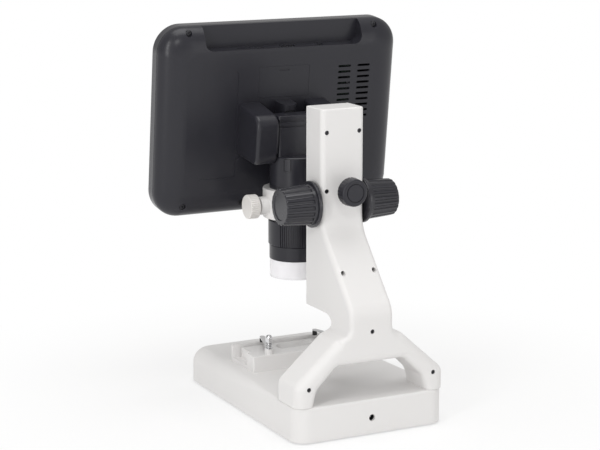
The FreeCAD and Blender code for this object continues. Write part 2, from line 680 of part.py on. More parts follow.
def make_column():
    """One moulding: the column, its neck and the two legs of the arch, hollow from the front."""
    blank = doc.addObject("PartDesign::Body", "column_blank")
    outline = mirrored([
        ("column_half", "shoulder_level"),
        ("column_half", "arch_shoulder + 4.5", "8"),
        ("arch_waist", "arch_shoulder", "12"),
        ("leg_half", "leg_top", "9"),
        ("leg_half", "base_height"),
        ("leg_half - leg_width", "base_height"),
        ("leg_half - leg_width - 3.5", "base_height + 14", "12"),
        ("arch_waist + 0.5", "arch_crown", "10"),
    ])
    pad(blank, "column_block", "XZ", "column_front", "arch_rear", [outline])
    under = [("column_front - 1", "base_height - 1"), ("arch_front", "base_height - 1"),
             ("arch_front", "column_foot", "11"), ("column_front - 1", "column_foot")]
    pocket(blank, "column_overhang", "YZ", "-base_half", "base_half", [under])
    behind = [("column_back", "shoulder_level + 1"), ("column_back", "back_upper", "30"),
              ("arch_rear", "back_lower", "20"), ("arch_rear", "back_lower - 25"),
              ("arch_rear + 9", "back_lower - 25"), ("arch_rear + 9", "shoulder_level + 1")]
    pocket(blank, "column_slope", "YZ", "-base_half", "base_half", [behind])

    def grade(x):
        """Crisp down the column, soft over the legs."""
        share = min(max((abs(x) - num("column_half")) / 8, 0), 1)
        return num("column_rounding") + share * (num("leg_rounding") - num("column_rounding"))

    def rear_rim(edge, first, last):
        spot = edge.valueAt((edge.FirstParameter + edge.LastParameter) / 2)
        if not num("base_height") + 0.1 < spot.z < num("shoulder_level") - 0.1:
            return None
        sides = blank.Shape.ancestorsOfType(edge, Part.Face)
        normals = [side.normalAt(*side.Surface.parameter(spot)) for side in sides]
        normals.sort(key=lambda normal: abs(normal.x))
        rear, flank = normals
        if abs(rear.x) > 0.02 or rear.y < 0.3 or abs(flank.y) > 0.02:
            return None
        inner = num("leg_half - leg_width") + 0.5
        if spot.z < num("arch_crown") + 0.5 and abs(spot.x) < inner:
            return (num("arch_rounding"), num("arch_rounding"))
        return (grade(first.x), grade(last.x))

    body = new_part("column_housing")
    body.BaseFeature = graded_rounding("column_rounded", blank, rear_rim)
    doc.recompute()
    pocket(body, "column_cavity", "XZ", "column_front - 1", "cavity_rear",
           [box("-cavity_half", "cavity_floor", "cavity_half", "shoulder_level + 1")])
    neck = [("cavity_rear - 1", "back_upper - 1"), ("cavity_rear", "back_upper - 2"),
            ("arch_rear - 4", "back_lower - 1"), ("arch_rear - 4", "arch_crown + 5"),
            ("arch_front + 4", "arch_crown + 5"), ("arch_front + 4", "cavity_floor"),
            ("cavity_rear - 1", "cavity_floor")]
    pocket(body, "neck_hollow", "YZ", "-cavity_half", "cavity_half", [neck])
    pad(body, "slope_bosses", "XZ", "cavity_rear + 2", "column_back + 26.5",
        pair("slope_screw_x", "slope_screw_level", "boss_radius"))
    pad(body, "neck_boss", "XZ", "arch_front + 3", "arch_rear - 3.5",
        [("0", "neck_screw_level", "boss_radius")])
    for name, x, level, seat, length, mouth in housing_screws():
        pocket(body, name + "_sink", "XZ", seat, mouth + " + 1",
               pair(x, level, "small_head + screw_play"))
        pocket(body, name + "_pilot", "XZ", "(%s) - (%s)" % (seat, length), seat,
               pair(x, level, "small_shank + screw_play"))
    pocket(body, "rod_sockets", "XY", "cavity_floor - rod_seat", "cavity_floor",
           pair("rod_x", "rod_y", "rod_radius + press_gap"))
    pocket(body, "bush_bores", "YZ", "-column_half - 1", "column_half + 1",
           [("drive_y", "drive_level", "bush_radius + press_gap")])
    pocket(body, "insert_bore", "XZ", "cavity_rear - 1", "column_back + 1",
           [("0", "lock_level", "insert_radius + press_gap")])


def housing_screws():
    """Rear screws: name, distance from the middle, height, seat, length, mouth of the sink."""
    return [("cap_screw", "housing_screw_x", "cap_screw_level", "column_back - 1.6", "10",
             "column_back"),
            ("frame_screw", "housing_screw_x", "frame_screw_level", "column_back - 1.6", "10",
             "column_back"),
            ("slope_screw", "slope_screw_x", "slope_screw_level", "column_back + 24", "20",
             "arch_rear"),
            ("neck_screw", "0", "neck_screw_level", "arch_rear - 2", "12", "arch_rear"),
            ("leg_screw", "leg_half - 12", "leg_top - 2", "arch_rear - 2", "14", "arch_rear")]


def make_column_screws():
    """The nine screws seen in the column's back."""
    body = new_part("column_screws")
    for name, x, level, seat, length, mouth in housing_screws():
        pad(body, name + "_head", "XZ", seat, "(%s) + 1.3" % seat, pair(x, level, "small_head"))
        pad(body, name + "_shank", "XZ", "(%s) - (%s) + 0.5" % (seat, length), seat,
            pair(x, level, "small_shank"))


def make_column_inside():
    """Cap, front cover, shaft frame, bushes, rods and the lock screw's insert."""
    cap = new_part("top_cap")
    plate = [("-column_half", "column_front"), ("column_half", "column_front"),
             ("column_half", "column_back", "column_rounding"),
             ("-column_half", "column_back", "column_rounding")]
    pad(cap, "cap_plate", "XY", "shoulder_level", "column_height", [plate])
    round_edges(cap, "cap_rounding", "1.5",
                edges_where(cap, lambda a, b, spot: a.z > 0.99 and abs(b.z) < 0.01))
    plug = [box("0.25 - cavity_half", "column_front + 3.2", "cavity_half - 0.25",
                "cavity_rear - 0.2")]
    pad(cap, "cap_plug", "XY", "shoulder_level - cap_plug", "shoulder_level", plug)
    for sign, name in (("", "left"), ("-", "right")):
        near = "%s(cavity_half - 0.25)" % sign
        far = "%s(cavity_half - 4.85)" % sign
        low, high = (far, near) if sign == "" else (near, far)
        pad(cap, "cap_lug_" + name, "XY", "cap_screw_level - 6", "shoulder_level - cap_plug",
            [box(low, "cavity_rear - 9", high, "cavity_rear - 0.2")])
    pocket(cap, "cap_pilots", "XZ", "cavity_rear - 9", "cavity_rear",
           pair("housing_screw_x", "cap_screw_level", "small_shank + screw_play"))
    pocket(cap, "cap_sockets", "XY", "shoulder_level - cap_plug",
           "shoulder_level - cap_plug + rod_seat",
           pair("rod_x", "rod_y", "rod_radius + press_gap"))
    front = new_part("column_front")
    pad(front, "front_plate", "XZ", "column_front", "column_front + 3",
        [box("0.15 - cavity_half", "cavity_floor + 0.15", "cavity_half - 0.15",
             "shoulder_level - 0.15")])
    pocket(front, "front_slot", "XZ", "column_front", "column_front + 3",
           [box("-slot_width / 2", "clamp_bottom - travel_down", "slot_width / 2",
                "clamp_top + travel_up + 2", "1")])
    frame = new_part("shaft_frame")
    edge = "cavity_half - 0.25"
    frame_low = "drive_level - 8.5"
    frame_high = "lock_level + 5.5"
    pad(frame, "frame_back", "XZ", "cavity_rear - 4.2", "cavity_rear",
        [box("-(%s)" % edge, frame_low, edge, frame_high)])
    inner = "cavity_half - 4.5"
    cheek_low = "carriage_back + 1"
    pad(frame, "frame_left", "XY", frame_low, frame_high,
        [box(inner, cheek_low, edge, "cavity_rear - 4")])
    pad(frame, "frame_right", "XY", frame_low, frame_high,
        [box("-(%s)" % edge, cheek_low, "-(%s)" % inner, "cavity_rear - 4")])
    pocket(frame, "frame_bores", "YZ", "-column_half", "column_half",
           [("drive_y", "drive_level", "bush_radius + press_gap")])
    pocket(frame, "frame_pilots", "XZ", "cavity_rear - 9", "cavity_rear",
           pair("housing_screw_x", "frame_screw_level", "small_shank + screw_play"))
    pocket(frame, "frame_insert_bore", "XZ", "cavity_rear - 5", "cavity_rear",
           [("0", "lock_level", "insert_radius + press_gap")])
    bushes = new_part("shaft_bushes")
    ring = [("drive_y", "drive_level", "bush_radius"),
            ("drive_y", "drive_level", "drive_radius + running_gap")]
    pad(bushes, "bush_left", "YZ", "cavity_half - 4.5", "column_half", ring)
    pad(bushes, "bush_right", "YZ", "-column_half", "4.5 - cavity_half", ring)
    insert = new_part("lock_insert")
    pad(insert, "insert_ring", "XZ", "cavity_rear - 4.2", "column_back",
        [("0", "lock_level", "insert_radius"), ("0", "lock_level", "shank_radius + running_gap")])
    rods = new_part("guide_rods")
    pad(rods, "rods_pair", "XY", "cavity_floor - rod_seat",
        "shoulder_level - cap_plug + rod_seat",
        pair("rod_x", "rod_y", "rod_radius"))


# Stage and clips

def make_stage():
    """Moulded stage: slide channel, end notches, front groove and the lamp's window."""
    body = new_part("stage_plate")
    pad(body, "stage_block", "XY", "base_height", "stage_top",
        [box("-stage_width / 2", "stage_front", "stage_width / 2", "stage_rear", "1.5")])
    pocket(body, "stage_channel", "XY", "channel_level", "stage_top + 1",
           [box("-stage_width / 2 - 1", "channel_front", "stage_width / 2 + 1", "channel_rear")])
    floor = "base_height + stage_floor"
    for name, low, high in (("left", "stage_width / 2 - notch_depth", "stage_width / 2 + 1"),
                            ("right", "-stage_width / 2 - 1", "notch_depth - stage_width / 2")):
        pocket(body, "stage_notch_" + name, "XY", floor, "stage_top",
               [box(low, "channel_front", high, "channel_rear")])
    pocket(body, "stage_groove", "XY", floor, "stage_top",
           [box("-stage_width / 2 - 1", "channel_front", "stage_width / 2 + 1",
                "channel_front + groove_width")])
    pocket(body, "stage_window", "XY", "channel_level - window_depth", "stage_top",
           [box("-window_width / 2", "window_middle - window_length / 2", "window_width / 2",
                "window_middle + window_length / 2", "window_length / 2 - 0.5")])
    pocket(body, "stage_light_hole", "XY", "base_height - 1", "channel_level",
           [("0", "window_middle", "window_length / 2 - 1")])
    pad(body, "stage_collars", "XY", "stage_top", "collar_top",
        pair("post_spacing / 2", "post_y", "collar_radius"))
    pocket(body, "stage_post_bores", "XY", "stage_top - 8", "collar_top",
           pair("post_spacing / 2", "post_y", "post_radius + press_gap"))
    pocket(body, "stage_pilots", "XY", "base_height", "base_height + 9",
           stage_screws("screw_shank + screw_play"))
    top = edges_where(body, lambda a, b, spot: a.z > 0.99 and abs(b.z) < 0.01
                      and abs(spot.z - num("stage_top")) < 0.01
                      and (abs(abs(spot.x) - num("stage_width / 2")) < 0.01
                           or spot.y > num("stage_rear") - 0.01
                           or spot.y < num("stage_front") + 0.01))
    round_edges(body, "stage_rounding", "0.8", top)
    window = new_part("light_window")
    pad(window, "window_disc", "XY", "channel_level - window_depth",
        "channel_level - window_depth + 2",
        [box("0.15 - window_width / 2", "window_middle - window_length / 2 + 0.15",
             "window_width / 2 - 0.15", "window_middle + window_length / 2 - 0.15",
             "window_length / 2 - 0.7")])
    posts = new_part("clip_posts")
    top = "collar_top + clip_sheet + 0.4 + spring_height"
    pad(posts, "posts_shaft", "XY", "stage_top - 8", top,
        pair("post_spacing / 2", "post_y", "post_radius"))
    pad(posts, "posts_head", "XY", top, top + " + 6.5",
        pair("post_spacing / 2", "post_y", "post_radius + 1.3"))
    round_edges(posts, "posts_dome", "post_radius + 1",
                edges_at(posts, z=top + " + 6.5"))


def make_springs():
    """A coil spring on each post, over the clip."""
    body = new_part("clip_springs")
    place(body, "-post_spacing / 2", "post_y", "collar_top + clip_sheet + 0.7")
    wire = draw(body, "spring_wire", "XZ", "0", [("post_radius + 0.8", "0", "0.45")])
    coil = body.newObject("PartDesign::AdditiveHelix", "spring_coil")
    coil.Profile = wire
    coil.ReferenceAxis = (wire, ["V_Axis"])
    coil.Mode = "pitch-height-angle"
    coil.setExpression("Pitch", full("(spring_height - 1.2) / 3"))
    coil.setExpression("Height", full("spring_height - 1.2"))
    body.Tip = coil
    doc.recompute()
    along(body, "spring_pair", coil, "X", "post_spacing", "2")


def make_clips():
    """Sprung steel clips that hold the slide, each with a soft tip."""
    for name, side, lean in (("left", "post_spacing / 2", "-clip_turn"),
                             ("right", "-post_spacing / 2", "clip_turn")):
        clip = new_part("stage_clip_" + name)
        place(clip, side, "post_y", "collar_top + 0.1", (0, 0, 1), lean)
        pad(clip, "clip_strip_" + name, "XY", "0", "clip_sheet",
            [box("-clip_width / 2", "-clip_reach", "clip_width / 2", "clip_width / 2",
                 "clip_width / 2 - 0.05")])
        pad(clip, "clip_eye_" + name, "XY", "0", "clip_sheet", [("0", "0", "post_radius + 2")])
        pocket(clip, "clip_bore_" + name, "XY", "-0.5", "clip_sheet + 0.5",
               [("0", "0", "post_radius + running_gap")])
        tip = new_part("clip_pad_" + name)
        place(tip, side, "post_y", "collar_top + 0.1", (0, 0, 1), lean)
        pad(tip, "clip_pad_body_" + name, "XY", "stage_top - collar_top + 0.3", "0",
            [box("-2.4", "-clip_reach + 0.4", "2.4", "-clip_reach + 4.4", "1.9")])


# Focus drive

def involute_flank(base_radius, tip_radius, half_angle):
    """Points of one flank from the base circle to the tip, about the tooth's middle line."""
    points = []
    for step in range(9):
        radius = base_radius + (tip_radius - base_radius) * step / 8
        roll = math.sqrt(max((radius / base_radius) ** 2 - 1, 0))
        angle = half_angle - (roll - math.atan(roll))
        points.append((radius, angle))
    return points


def make_drive():
    """Shaft with its pinion: twelve involute teeth of 20 degrees pressure angle."""
    pitch = num("pitch_radius")
    module = num("gear_module")
    teeth = int(round(num("gear_teeth")))
    pressure = math.radians(20)
    base_radius = pitch * math.cos(pressure)
    tip = pitch + module
    root = pitch - 1.25 * module
    tooth = (math.pi * module - num("gear_backlash")) / 2
    half = tooth / 2 / pitch + math.tan(pressure) - pressure
    width = num("gear_width")
    start = FreeCAD.Vector(num("gear_side") - width / 2, num("drive_y"), num("drive_level"))
    outline = []
    for index in range(teeth):
        middle = 2 * math.pi * index / teeth + math.pi
        flank = [(root, half)] + involute_flank(base_radius, tip, half)
        for radius, angle in flank:
            outline.append((radius, middle - angle))
        for radius, angle in reversed(flank):
            outline.append((radius, middle + angle))
    points = [start + FreeCAD.Vector(0, radius * math.cos(angle), radius * math.sin(angle))
              for radius, angle in outline]
    face = Part.Face(Part.makePolygon(points + points[:1]))
    gear = face.extrude(FreeCAD.Vector(width, 0, 0))
    reach = num("knob_start") + 26
    rod = Part.makeCylinder(num("drive_radius"), 2 * reach,
                            FreeCAD.Vector(-reach, num("drive_y"), num("drive_level")),
                            FreeCAD.Vector(1, 0, 0))
    shaft = doc.addObject("Part::Feature", "drive_shaft")
    shaft.Label = "drive_shaft"
    shaft.Shape = gear.fuse(rod).removeSplitter()
    NODES.append(shaft)


def make_knobs():
    """Focus knobs: a flange and a slightly conical grip with flutes that run out at the end."""
    profile = [("knob_start", "drive_radius + 0.02"),
               ("knob_start", "knob_flange_radius", "0.8"),
               ("knob_start + knob_flange", "knob_flange_radius", "0.8"),
               ("knob_start + knob_flange", "knob_base_radius"),
               ("knob_end", "knob_tip_radius", "1.6"),
               ("knob_end", "knob_tip_radius - 4.5"),
               ("knob_end - 0.8", "knob_tip_radius - 5"),
               ("knob_end - 0.8", "0"),
               ("knob_start + 26.2", "0"),
               ("knob_start + 26.2", "drive_radius + 0.02")]
    for name, spin in (("left", "0"), ("right", "180")):
        body = new_part("focus_knob_" + name)
        place(body, "0", "drive_y", "drive_level", (0, 0, 1), spin)
        turn(body, "knob_form_" + name, "Revolution", "XY", "0", profile, "H_Axis")
        low = ("knob_start + knob_flange + 3", [("0", "knob_base_radius + 0.5", "2")])
        high = ("knob_end + 0.5", [("0", "knob_tip_radius + 0.5", "1.9")])
        flute = loft(body, "knob_flute_" + name, "SubtractiveLoft", "YZ", [low, high])
        around(body, "knob_flutes_" + name, flute, "X", "knob_flutes")


def loft(body, name, kind, plane, sections):
    """Join sections at several places along the plane's axis."""
    sketches = [draw(body, "%s_section_%d" % (name, number), plane, level, loops)
                for number, (level, loops) in enumerate(sections, 1)]
    feature = body.newObject("PartDesign::" + kind, name)
    feature.Profile = sketches[0]
    feature.Sections = sketches[1:]
    body.Tip = feature
    doc.recompute()
    return feature


def make_lock():
    """Lock knob on its screw at the column's back."""
    start = "column_back + lock_standoff"
    end = start + " + lock_length"
    body = new_part("lock_knob")
    place(body, "0", "0", "lock_level")
    profile = [(start, "shank_radius + 0.02"), (start, "lock_radius", "1"),
               (end, "lock_radius - 0.6", "2"), (end, "8.7"), (end + " - 0.7", "8.7"),
               (end + " - 0.7", "8"), (end, "7.6"), (end, "0"),
               (end + " - 3", "0"), (end + " - 3", "shank_radius + 0.02")]
    turn(body, "lock_form", "Revolution", "YZ", "0", profile, "H_Axis")
    flute = pocket(body, "lock_flute", "XZ", start + " - 1", end + " + 1",
                   [("0", "lock_radius + 0.45", "1")])
    around(body, "lock_flutes", flute, "Y", "lock_flute_count")
    screw = new_part("lock_screw")
    pad(screw, "lock_shank", "XZ", "carriage_back + 0.4", end + " - 3.1",
        [("0", "lock_level", "shank_radius")])
    bevel_edges(screw, "lock_tip", "0.6", edges_at(screw, y="carriage_back + 0.4"))


# Carriage and clamp

def arm_screws(radius):
    """The two screws that hold the arm to the carriage."""
    return [("0", "clamp_bottom + 8.5", radius), ("0", "clamp_bottom + 20.5", radius)]


def make_carriage():
    """Carriage on the rods, its rack, and the clamp ring for the tube."""
    body = new_part("carriage")
    pad(body, "carriage_block", "XY", "carriage_low", "carriage_high",
        [box("-carriage_width / 2", "carriage_front", "carriage_width / 2", "carriage_back",
             "0.8")])
    pocket(body, "carriage_bores", "XY", "carriage_low", "carriage_high",
           pair("rod_x", "rod_y", "rod_radius + running_gap"))
    seat = [box("gear_side - gear_width / 2", "rack_front", "gear_side + gear_width / 2",
                "carriage_back + 1")]
    pocket(body, "carriage_rack_seat", "XY", "rack_low", "rack_high", seat)
    pocket(body, "carriage_sinks", "XZ", "carriage_back - 2.4", "carriage_back + 1",
           arm_screws("screw_head + screw_play"))
    pocket(body, "carriage_holes", "XZ", "carriage_front - 1", "carriage_back",
           arm_screws("screw_shank + screw_play"))
    rack = new_part("rack")
    pad(rack, "rack_strip", "XY", "rack_low", "rack_high",
        [box("gear_side - gear_width / 2", "rack_front", "gear_side + gear_width / 2",
             "carriage_back")])
    half = "(rack_pitch - gear_backlash) / 4"
    root = "(%s + 1.25 * gear_module * tan(20))" % half
    crest = "(%s - gear_module * tan(20))" % half
    first = "(drive_level - (rack_teeth - 1) / 2 * rack_pitch)"
    tooth = pad(rack, "rack_tooth", "YZ", "gear_side - gear_width / 2",
                "gear_side + gear_width / 2",
                [[("rack_front + 0.8", "%s - %s" % (first, root)),
                  ("carriage_back", "%s - %s" % (first, root)),
                  ("pitch_line + gear_module", "%s - %s" % (first, crest)),
                  ("pitch_line + gear_module", "%s + %s" % (first, crest)),
                  ("carriage_back", "%s + %s" % (first, root)),
                  ("rack_front + 0.8", "%s + %s" % (first, root))]])
    along(rack, "rack_row", tooth, "Z", "rack_pitch", "rack_teeth")
    clamp = new_part("clamp_arm")
    pad(clamp, "clamp_ring", "XY", "clamp_bottom", "clamp_top",
        [("0", "axis_y", "clamp_radius")])
    round_edges(clamp, "clamp_ring_rounding", "0.8",
                edges_where(clamp, lambda a, b, spot: abs(abs(a.z) - 1) < 0.01
                            and abs(b.z) < 0.01))
    pad(clamp, "clamp_boss", "YZ", "clamp_radius - 4", "thumb_start - 1.5",
        [("axis_y", "screw_level", "8.5")])
    pad(clamp, "clamp_bar", "XY", "clamp_bottom + 1.5", "clamp_top - 1",
        [box("-arm_width / 2", "axis_y + clamp_radius - 3", "arm_width / 2", "carriage_front")])
    round_edges(clamp, "clamp_bar_rounding", "2.5",
                edges_where(clamp, lambda a, b, spot: abs(abs(a.x) - 1) < 0.01
                            and abs(abs(b.z) - 1) < 0.01 and spot.y > num("axis_y")
                            and abs(abs(spot.x) - num("arm_width / 2")) < 0.01))
    pocket(clamp, "clamp_bore", "XY", "clamp_bottom - 1", "clamp_top + 1",
           [("0", "axis_y", "tube_radius + running_gap")])
    pocket(clamp, "clamp_screw_bore", "YZ", "tube_radius - 4", "thumb_start",
           [("axis_y", "screw_level", "shank_radius + running_gap")])
    pocket(clamp, "clamp_pilots", "XZ", "carriage_front - 14", "carriage_front",
           arm_screws("screw_shank + screw_play"))
    screws = new_part("arm_screws")
    pad(screws, "arm_heads", "XZ", "carriage_back - 2.4", "carriage_back - 0.5",
        arm_screws("screw_head"))
    pad(screws, "arm_shanks", "XZ", "carriage_front - 13.5", "carriage_back - 2.4",
        arm_screws("screw_shank"))


def make_thumb_screw():
    """Ribbed thumb screw that clamps the tube in its ring."""
    head = new_part("thumb_screw")
    place(head, "0", "axis_y", "screw_level")
    end = "thumb_start + thumb_length"
    profile = [("thumb_start", "shank_radius + 0.02"), ("thumb_start", "7"),
               ("thumb_start + 1", "thumb_radius", "0.6"), (end, "thumb_radius", "1.2"),
               (end, "0"), (end + " - 3", "0"), (end + " - 3", "shank_radius + 0.02")]
    turn(head, "thumb_form", "Revolution", "XY", "0", profile, "H_Axis")
    groove = pocket(head, "thumb_groove", "YZ", "thumb_start - 1", end + " + 1",
                    [("0", "thumb_radius + 0.25", "0.7")])
    around(head, "thumb_grooves", groove, "X", "thumb_ribs")
    shank = new_part("thumb_shank")
    pad(shank, "thumb_rod", "YZ", "tube_radius + 0.35", end + " - 3.1",
        [("axis_y", "screw_level", "shank_radius")])


# Tube, optics and head

def ring_pad(body, name, low, high, outer, inner):
    """A ring about the optical axis."""
    return pad(body, name, "XY", low, high, [("0", "0", outer), ("0", "0", inner)])


def make_tube():
    """Tube, neck, rings, skirt and the optics, about the optical axis."""
    tube = new_part("tube_body")
    place(tube, "0", "axis_y", "0", (0, 0, 1), "-tab_turn")
    ring_pad(tube, "tube_wide", "tube_bottom", "tube_top", "tube_radius", "barrel_radius + 0.05")
    ring_pad(tube, "tube_neck", "nose_bottom", "tube_bottom", "neck_radius", "barrel_radius + 0.05")
    pocket(tube, "tube_bore", "XY", "tube_bottom + 3", "tube_top + 1",
           [("0", "0", "tube_radius - tube_wall")])
    bevel_edges(tube, "tube_bevel", "0.7",
                edges_where(tube, lambda a, b, spot: a.z > 0.99 and abs(b.z) < 0.01
                            and math.hypot(spot.x, spot.y) > num("tube_radius") - 0.01
                            and spot.z > num("tube_top") - 0.01))
    seam = [("tube_radius - 0.5", "tube_top - tube_seam_drop"),
            ("tube_radius + 1", "tube_top - tube_seam_drop"),
            ("tube_radius + 1", "tube_top - tube_seam_drop + 0.6"),
            ("tube_radius - 0.5", "tube_top - tube_seam_drop + 0.6")]
    turn(tube, "tube_seam", "Groove", "XZ", "0", seam, "V_Axis")
    tab = [box("-tab_width / 2", "tube_top - 1 - tab_height", "tab_width / 2", "tube_top - 1", "0.8"),
           box("0.5 - tab_width / 2", "tube_top - 0.5 - tab_height", "tab_width / 2 - 0.5",
               "tube_top - 1.5", "0.3")]
    pocket(tube, "tube_tab", "XZ", "tube_radius - 1.2", "tube_radius + 1", tab)
    slot = [box("-1.6", "ring_bottom + 1.5", "1.6", "ring_bottom + 12.5", "1.5")]
    pocket(tube, "neck_slots", "YZ", "-neck_radius - 1", "neck_radius + 1", slot)
    nose = new_part("nose_ring")
    place(nose, "0", "axis_y", "0")
    ring_pad(nose, "nose_form", "nose_bottom", "nose_top", "tube_radius + 0.2", "neck_radius")
    round_edges(nose, "nose_rounding", "0.6",
                edges_where(nose, lambda a, b, spot: abs(abs(a.z) - 1) < 0.01
                            and math.hypot(spot.x, spot.y) > num("tube_radius")))
    ring = new_part("focus_ring")
    place(ring, "0", "axis_y", "0", (0, 0, 1), "90 - ring_grip_angle / 2")
    ring_pad(ring, "ring_core", "ring_bottom", "ring_bottom + focus_ring_height",
             "focus_ring_radius", "neck_radius + running_gap")
    bevel_edges(ring, "ring_bevel", "0.5",
                edges_where(ring, lambda a, b, spot: abs(abs(a.z) - 1) < 0.01
                            and math.hypot(spot.x, spot.y) > num("focus_ring_radius") - 0.01))
    relief = [("neck_radius - 0.5", "ring_bottom + 1.5"),
              ("neck_radius + 1", "ring_bottom + 1.5"),
              ("neck_radius + 1", "ring_bottom + 12.5"),
              ("neck_radius - 0.5", "ring_bottom + 12.5")]
    turn(ring, "ring_relief", "Groove", "XZ", "0", relief, "V_Axis")
    floor = "focus_ring_radius - ring_groove_depth"
    half = "ring_groove_width / 2"
    for name, near, far in (("left", floor, "focus_ring_radius + 1"),
                            ("right", "-focus_ring_radius - 1", "-(%s)" % floor)):
        groove = pocket(ring, "ring_groove_" + name, "XY", "ring_bottom - 1",
                        "ring_bottom + focus_ring_height - 1.2",
                        [box(near, "-" + half, far, half)])
        around(ring, "ring_grooves_" + name, groove, "Z", "ring_grooves", "ring_grip_angle")
    skirt = new_part("light_skirt")
    place(skirt, "0", "axis_y", "0")
    ring_pad(skirt, "skirt_wall", "skirt_bottom", "nose_bottom", "tube_radius - 0.2",
             "tube_radius - 0.2 - skirt_wall")
    ring_pad(skirt, "skirt_floor", "skirt_bottom", "skirt_bottom + 2", "tube_radius - 1",
             "lens_radius")
    board = new_part("led_board")
    place(board, "0", "axis_y", "0")
    ring_pad(board, "led_board_form", "nose_bottom - 1.6", "nose_bottom", "neck_radius - 0.2",
             "10")
    leds = new_part("leds")
    place(leds, "0", "axis_y", "0")
    led = pad(leds, "led_form", "XY", "nose_bottom - 3.5", "nose_bottom - 1.6",
              [box("14.75", "-1.75", "18.25", "1.75")])
    around(leds, "led_group", led, "Z", "8")
    barrel = new_part("lens_barrel")
    place(barrel, "0", "axis_y", "0", (0, 0, 1), "-tab_turn")
    low = "ring_bottom - 6.5"
    ring_pad(barrel, "barrel_form", low, low + " + barrel_height", "barrel_radius",
             "lens_radius + 0.02")
    pins = [("0", "ring_bottom + 7", "1.3")]
    pad(barrel, "barrel_pin_left", "YZ", "barrel_radius - 1.5", "neck_radius + 0.7", pins)
    pad(barrel, "barrel_pin_right", "YZ", "-neck_radius - 0.7", "1.5 - barrel_radius", pins)
    pad(barrel, "barrel_stop", "XY", low + " + 7", low + " + 9",
        [("0", "0", "barrel_radius - 1"), ("0", "0", "lens_radius - 2.5")])
    lens = new_part("objective_lens")
    place(lens, "0", "axis_y", "0")
    dome = [("0", low + " + 2.5"), ("6", low + " + 2.7"), ("lens_radius - 1", low + " + 4"),
            ("lens_radius", low + " + 4"), ("lens_radius", low + " + 7"), ("0", low + " + 7")]
    turn(lens, "lens_form", "Revolution", "XZ", "0", dome, "V_Axis")
    sensor = new_part("sensor_board")
    place(sensor, "0", "axis_y", "0")
    pad(sensor, "sensor_sheet", "XY", "tube_bottom + 3", "tube_bottom + 4.6",
        [("0", "0", "tube_radius - tube_wall - 0.3")])
    pad(sensor, "sensor_chip", "XY", "tube_bottom + 1.5", "tube_bottom + 3",
        [box("-6", "-5", "6", "5")])
    pad(sensor, "sensor_plug", "XY", "tube_bottom + 4.6", "tube_bottom + 9",
        [box("-7", "8", "7", "13")])


def make_head():
    """Camera head on the tube with its grooved cover and pivot pins, about the pivot."""
    head = new_part("camera_head")
    place(head, "0", "axis_y", "pivot_level")
    low = "tube_top - pivot_level"
    split = "head_top - head_cap"
    plan = [box("-head_width / 2", "-head_front", "head_width / 2", "head_rear", "2.5")]
    pad(head, "head_block", "XY", low, split, plan)
    pad(head, "head_lid", "XY", low + " - 4", low,
        [("0", "0", "tube_radius - tube_wall - 0.1")])
    pocket(head, "head_hollow", "XY", low + " - 4", split + " - 2.5",
           [box("-11", "2.5 - head_front", "11", "head_rear - 2.5", "1.5")])
    pin = [("0", "0", "pin_radius + 0.02")]
    pocket(head, "head_bore_left", "YZ", "14", "head_width / 2 + 1", pin)
    pocket(head, "head_bore_right", "YZ", "-head_width / 2 - 1", "-14", pin)
    cap = new_part("head_cover")
    place(cap, "0", "axis_y", "pivot_level")
    inset = [box("-head_width / 2 + 1.1", "1.1 - head_front", "head_width / 2 - 1.1",
                 "head_rear - 1.1", "1.6")]
    top = "head_top"
    pad(cap, "cover_joint", "XY", split, split + " + 1.8", inset)
    pad(cap, "cover_block", "XY", split + " + 1.8", top + " - 6", plan)
    pad(cap, "cover_groove", "XY", top + " - 6", top + " - 3.6", inset)
    pad(cap, "cover_plate_top", "XY", top + " - 3.6", top, plan)
    round_edges(cap, "cover_rounding", "1",
                edges_where(cap, lambda a, b, spot: a.z > 0.99 and abs(b.z) < 0.01
                            and spot.z > num(top) - 0.01))
    pins = new_part("pivot_pins")
    place(pins, "0", "axis_y", "pivot_level")
    rod = [("0", "0", "pin_radius")]
    pad(pins, "pin_left", "YZ", "14", "cheek_inner + 11", rod)
    pad(pins, "pin_right", "YZ", "-cheek_inner - 11", "-14", rod)


# Display, in its own frame: origin on the pivot, y to the rear, z along the panel.

def panel_outline(inset):
    """The display's outline, drawn in by an inset."""
    half = "(panel_half - %s)" % inset
    corner = "panel_corner - 0.7 * %s" % inset
    return [("-" + half, "panel_low + %s" % inset, corner),
            (half, "panel_low + %s" % inset, corner),
            (half, "panel_high - %s" % inset, corner),
            ("-" + half, "panel_high - %s" % inset, corner)]


